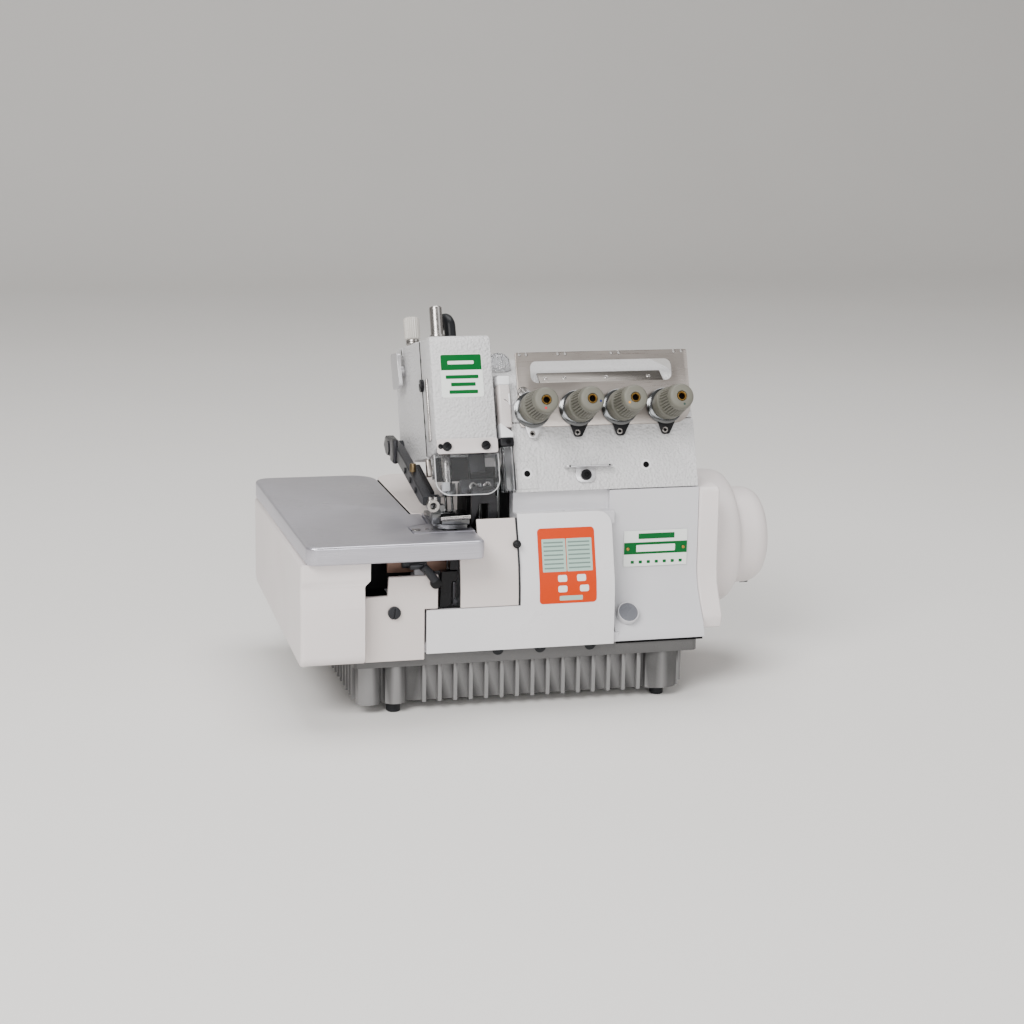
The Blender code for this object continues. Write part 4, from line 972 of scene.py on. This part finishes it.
def looper_opening():
    """Recess under the cloth plate, darkened with painted shade, with the lever, link and bracket that
    show in it.
    """
    link = box((24.0, 67.0), (10.0, 14.0), (100.6, 112.0), UPRIGHT, 0.8)
    slab = box((34.0, 52.0), (6.5, 10.0), (104.5, 109.5), UPRIGHT, 0.8)
    # The link housing takes the brown of a painted reflection.
    piece("looper_link_housing", "root", "dark_steel", (link, REFLECTED_BROWN), (slab, DARK))
    lever = tube([(46.0, -7.0, 108.6), (50.0, -7.4, 104.6), (54.6, -7.6, 98.4)], 3.1, UPRIGHT)
    arm = box((37.0, 49.0), (-6.0, -2.6), (106.2, 109.8), UPRIGHT, 1.0)
    knob = disc((55.0, -6.2, 96.4), FORWARD, 3.9, 3.0, UPRIGHT, 0.6)
    piece("looper_lever", "root", "dark_steel", (lever, DARK), (arm, DARK), (knob, BLACK))
    bracket = prism('Y', rounded([(59.4, 76.8), (65.0, 76.8), (68.0, 79.0), (68.0, 95.6),
                                  (71.6, 95.6), (72.6, 102.9), (60.6, 102.9)],
                                 [0.6, 0.6, 1.0, 1.5, 0.8, 0.8, 0.8]), (-1.6, 5.0), UPRIGHT, 0.5)
    stop = box((66.8, 73.2), (-1.0, 6.0), (103.6, 112.0), UPRIGHT, 0.5)
    latch = box((68.8, 71.0), (-1.2, 2.0), (78.0, 95.0), UPRIGHT, 0.4)
    toe = disc((70.6, -1.4, 81.0), FORWARD, 1.8, 0.8, UPRIGHT, 0.3)
    piece("cover_latch", "root", "dark_steel", (merged([bracket, stop]), BLACK),
          (latch, GUNMETAL), (toe, DARK))
    # Near-black board and floor of painted shade, so the looper recess reads dark.
    recess = box((3.5, 47.0), (24.4, 26.0), (52.5, 115.0), UPRIGHT, 0.3)
    floor = box((3.6, 24.0), (4.6, 24.4), (85.9, 86.4), UPRIGHT, 0.0)
    piece("looper_recess_shade", "root", "dark_steel", (merged([recess, floor]), HOLLOW))
    low, high = span("panel_screw")
    place = ((low[0] + high[0]) / 2.0, high[1], (low[2] + high[2]) / 2.0)
    screw = slotted(place, FORWARD, 4.6, 2.0, UPRIGHT, 1.45, 1.0)
    piece("front_panel_screw", "root", "dark_steel", (screw, DARK), replaces=["panel_screw"])
    edge = prism('X', [(-5.2, 76.7), (-4.8, 90.0), (-2.6, 104.0), (2.4, 120.0), (9.4, 137.2),
                       (11.4, 136.4), (4.4, 119.4), (-0.6, 103.6), (-2.8, 90.0), (-3.2, 76.7)],
                 (115.9, 117.3), UPRIGHT, 0.3, 2)
    outward = (-0.15, -0.97, 0.2)
    pin = merged([disc((115.6, 1.9, 119.6), outward, 3.0, 2.6, UPRIGHT, 0.5),
                  disc((115.2, -1.0, 120.0), outward, 1.6, 1.6, UPRIGHT, 0.4)])
    piece("chip_guard_edge", "cover", "cream_paint", (edge, GUNMETAL), (pin, BLACK))


def end_cover():
    """Hollow end cover with broad soft corners and a shallow crease across its front."""
    low, high = span("side_cover")
    top = high[2]
    side = rounded([(high[1], 50.6), (high[1], top), (low[1], top), (low[1] + 0.6, 104.0),
                    (low[1] + 2.4, 99.0), (low[1] + 0.8, 84.0), (low[1] + 1.4, 41.5)],
                   [10.0, 0.0, 0.0, 9.0, 7.0, 12.0, 9.0], 8)
    body = prism('X', side, (low[0], 6.7))
    notch = prism('Y', rounded([(3.0, 20.0), (3.0, 99.0), (6.8, 103.4), (12.0, 103.4), (12.0, 20.0)],
                               [0.0, 3.0, 2.0, 0.0, 0.0]), (-40.0, 0.0))
    inside = box((low[0] + 2.8, 12.0), (low[1] + 5.2, high[1] - 2.8), (30.0, top - 2.6), UPRIGHT, 3.0)
    clearance = box((-3.0, 12.0), (-14.4, 215.0), (20.0, 130.0), UPRIGHT, 0.0)
    shell = cut(body, [notch, inside, clearance])
    bmesh.ops.remove_doubles(shell, verts=shell.verts, dist=0.02 * MM)
    bmesh.ops.dissolve_limit(shell, angle_limit=math.radians(0.5), verts=shell.verts,
                             edges=shell.edges)
    sharp = [e for e in shell.edges if e.calc_face_angle_signed(0.0) > math.radians(50.0)
             and max(v.co.x for v in e.verts) < (low[0] - PLAN_CENTRE[0] + 1.0) * MM]
    round_edges(shell, sharp, 6.0 * MM, 8)
    rest = [e for e in shell.edges if e.calc_face_angle_signed(0.0) > math.radians(50.0)]
    round_edges(shell, rest, 0.8 * MM, 3)
    piece("end_cover", "plate_unit", "white_plastic", (shell, WARM_WHITE), replaces=["side_cover"])


def hinge_bracket():
    """Bracket on the pan's flange and the upright pin that the cloth plate swings on.

    It stays below the cover's rear wall, which sweeps over it, and within the cover round the pin.
    """
    low, high = span("plate_hinge")
    pan_low, pan_high = span("base_casting")
    x, y = low[0] + 8.0, (low[1] + high[1]) / 2.0
    foot = 44.5
    arm = box((x, pan_low[0] + 0.2), (y - 7.6, y + 5.5), (foot, min(pan_high[2], 49.0) - 0.3),
              UPRIGHT, 0.9)
    boss = disc((x, y, foot), UPWARD, 6.4, 11.0, UPRIGHT, 0.9)
    pin = disc((x, y, foot), UPWARD, 3.6, high[2] - foot, UPRIGHT, 0.5)
    piece("hinge_bracket", "root", "dark_steel", (merged([arm, boss]), DARK), (pin, GUNMETAL),
          replaces=["plate_hinge"])


def cloth_sheet():
    """Brushed cloth plate with a crisp rounded edge and the opening for the needle plate."""
    low, high = span("cloth_plate")
    corners = [(-38.6, -27.0), (86.0, -27.0), (86.0, 5.0), (42.0, 5.0), (42.0, 24.0), (58.0, 33.0),
               (60.0, 66.4), (52.0, 66.4), (52.0, 210.0), (-41.5, 212.0)]
    radii = [8.0, 5.0, 0.0, 0.0, 0.0, 0.0, 0.0, 0.0, 20.0, 12.0]
    plate = prism('Z', rounded(corners, radii, 10), (low[2], high[2]), UPRIGHT, 1.7, 4)
    piece("cloth_plate_sheet", "plate_unit", "plate_steel", (plate, PLATE), replaces=["cloth_plate"])


def plate_detail():
    """Dark seam beside the bed plate, and the screw, hole and grooves of the needle plate."""
    level = span("needle_plate")[1][2]
    seam = box((52.05, 52.75), (66.8, 190.0), (level - 5.0, level - 0.25), UPRIGHT, 0.0)
    piece("plate_seam", "root", "dark_steel", (seam, HOLLOW))
    screw = slotted((45.6, 14.6, level - 0.4), UPWARD, 3.0, 0.6, UPRIGHT, 0.7, 0.8)
    halo = ring((45.6, 14.6, level - 0.4), UPWARD, 3.5, 2.9, 0.5, UPRIGHT)
    hole = ring((55.0, 15.0, level - 0.3), UPWARD, 2.9, 2.0, 0.4, UPRIGHT)
    piece("plate_screws", "root", "bright_steel", (screw, BRIGHT), (halo, DARK), (hole, BRIGHT))
    slot = [box((63.6, 66.0), (9.0, 60.0), (level - 0.2, level + 0.12), UPRIGHT, 0.0),
            box((72.0, 74.0), (8.0, 28.0), (level - 0.2, level + 0.12), UPRIGHT, 0.0)]
    piece("needle_plate_grooves", "root", "bright_steel", (merged(slot), DARK))


# ---------------------------------------------------------------------------- drive side
def drive_side():
    """Domed motor housing and the dished handwheel at the right end."""
    low, high = span("motor_housing")
    start, end = low[0], high[0]
    centre_y = (low[1] + high[1]) / 2.0
    centre_z = (low[2] + high[2]) / 2.0
    radius = (high[2] - low[2]) / 2.0
    depth = end - start
    housing = turned([(0.0, 0.0), (radius, 0.0), (radius, depth - 15.0), (radius - 0.4, depth - 10.0),
                      (radius - 1.4, depth - 6.0), (radius - 3.2, depth - 2.8),
                      (radius - 5.6, depth - 0.8), (radius - 8.5, depth), (9.0, depth),
                      (9.0, depth - 14.0), (0.0, depth - 14.0)], (start, centre_y, centre_z),
                     RIGHTWARD, UPRIGHT, 128)
    ledge = ring((start + depth - 0.6, centre_y, centre_z), RIGHTWARD, 39.6, 38.2, 0.9, UPRIGHT, 96)
    piece("motor_shell", "root", "white_plastic", (housing, WARM_WHITE), (ledge, WARM_WHITE),
          replaces=["motor_housing"])
    wheel_low, wheel_high = span("handwheel")
    wheel_radius = (wheel_high[2] - wheel_low[2]) / 2.0
    rest = end + 0.3
    width = wheel_high[0] - rest
    profile = [(0.0, -12.0), (8.4, -12.0), (8.4, 0.0), (wheel_radius - 0.6, 0.0),
               (wheel_radius, 0.6), (wheel_radius, width - 13.0), (wheel_radius - 0.5, width - 10.0),
               (wheel_radius - 2.0, width - 6.4), (wheel_radius - 4.4, width - 3.2),
               (wheel_radius - 8.0, width - 1.2), (wheel_radius - 13.0, width - 0.2),
               (wheel_radius - 14.0, width), (12.0, width), (11.4, width - 0.6), (7.0, width - 1.0),
               (0.0, width - 1.0)]
    wheel = turned(profile, (rest, centre_y, centre_z), RIGHTWARD, UPRIGHT, 128)
    mark = box((rest + 13.5, rest + 20.0), (centre_y - 6.6, centre_y - 5.2),
                      (centre_z - wheel_radius - 0.05, centre_z - wheel_radius + 1.4), UPRIGHT, 0.1)
    piece("handwheel_shell", "wheel", "white_plastic", (wheel, WARM_WHITE), (mark, DARK),
          replaces=["handwheel"])


# ---------------------------------------------------------------------------- stage
def soft_stage():
    """Pale floor that curves up into a plain wall."""
    data = bmesh.new()
    outline = [(-4.0, 0.0), (2.4, 0.0)]
    outline += [(2.4 + 0.8 * math.sin(a), 0.8 - 0.8 * math.cos(a))
                for a in (math.radians(d) for d in range(10, 91, 10))]
    outline += [(3.2, 4.0)]
    rows = [[data.verts.new((x, y, z)) for y, z in outline] for x in (-6.0, 6.0)]
    for i in range(len(outline) - 1):
        data.faces.new([rows[0][i], rows[1][i], rows[1][i + 1], rows[0][i + 1]]).smooth = True
    mesh = bpy.data.meshes.new("floor")
    data.to_mesh(mesh)
    data.free()
    graph = Graph("floor_paper")
    tone = graph.spread(graph.noise(1.4, 3.0), 0.0, 1.0)
    graph.colour(graph.mix(tone, (0.78, 0.765, 0.745), (0.75, 0.735, 0.715)))
    graph.set(Roughness=0.8, Specular_IOR_Level=0.2)
    mesh.materials.append(graph.material)
    placed("floor", mesh)


def light():
    """Soft studio lights and an even pale sky."""
    for name, place, size, power, colour in LIGHTS:
        lamp = bpy.data.lights.new(name, 'AREA')
        lamp.shape = 'RECTANGLE'
        lamp.size, lamp.size_y = size
        lamp.energy = power
        lamp.color = colour
        made = placed(name, lamp)
        made.location = place
        aim = Vector(LIGHT_AIM) - Vector(place)
        made.rotation_euler = aim.to_track_quat('-Z', 'Y').to_euler()
    world = bpy.data.worlds.new("studio")
    world.use_nodes = True
    sky = world.node_tree.nodes["Background"]
    sky.inputs["Color"].default_value = SKY_COLOUR
    sky.inputs["Strength"].default_value = SKY_STRENGTH
    bpy.context.scene.world = world


def camera():
    """Camera at the photograph's viewing angle."""
    lens = bpy.data.cameras.new("camera")
    lens.sensor_width = SENSOR_MM
    lens.lens = LENS_MM
    right, up = Vector(CAMERA_RIGHT), Vector(CAMERA_UP)
    turn = Matrix((right, up, right.cross(up))).transposed().to_4x4()
    made = placed("camera", lens)
    made.matrix_world = Matrix.Translation(CAMERA_PLACE) @ turn
    bpy.context.scene.camera = made


camera()
dress_solids()
head_label()
type_label()
cover_label()
head_detail()
head_top()
eye_shield()
needle_area()
thread_guides()
tension_sheet()
for unit in TENSION_UNITS:
    tension_unit(unit)
arm_detail()
bed_detail()
looper_opening()
cloth_sheet()
hinge_bracket()
end_cover()
plate_detail()
drive_side()
soft_stage()
light()
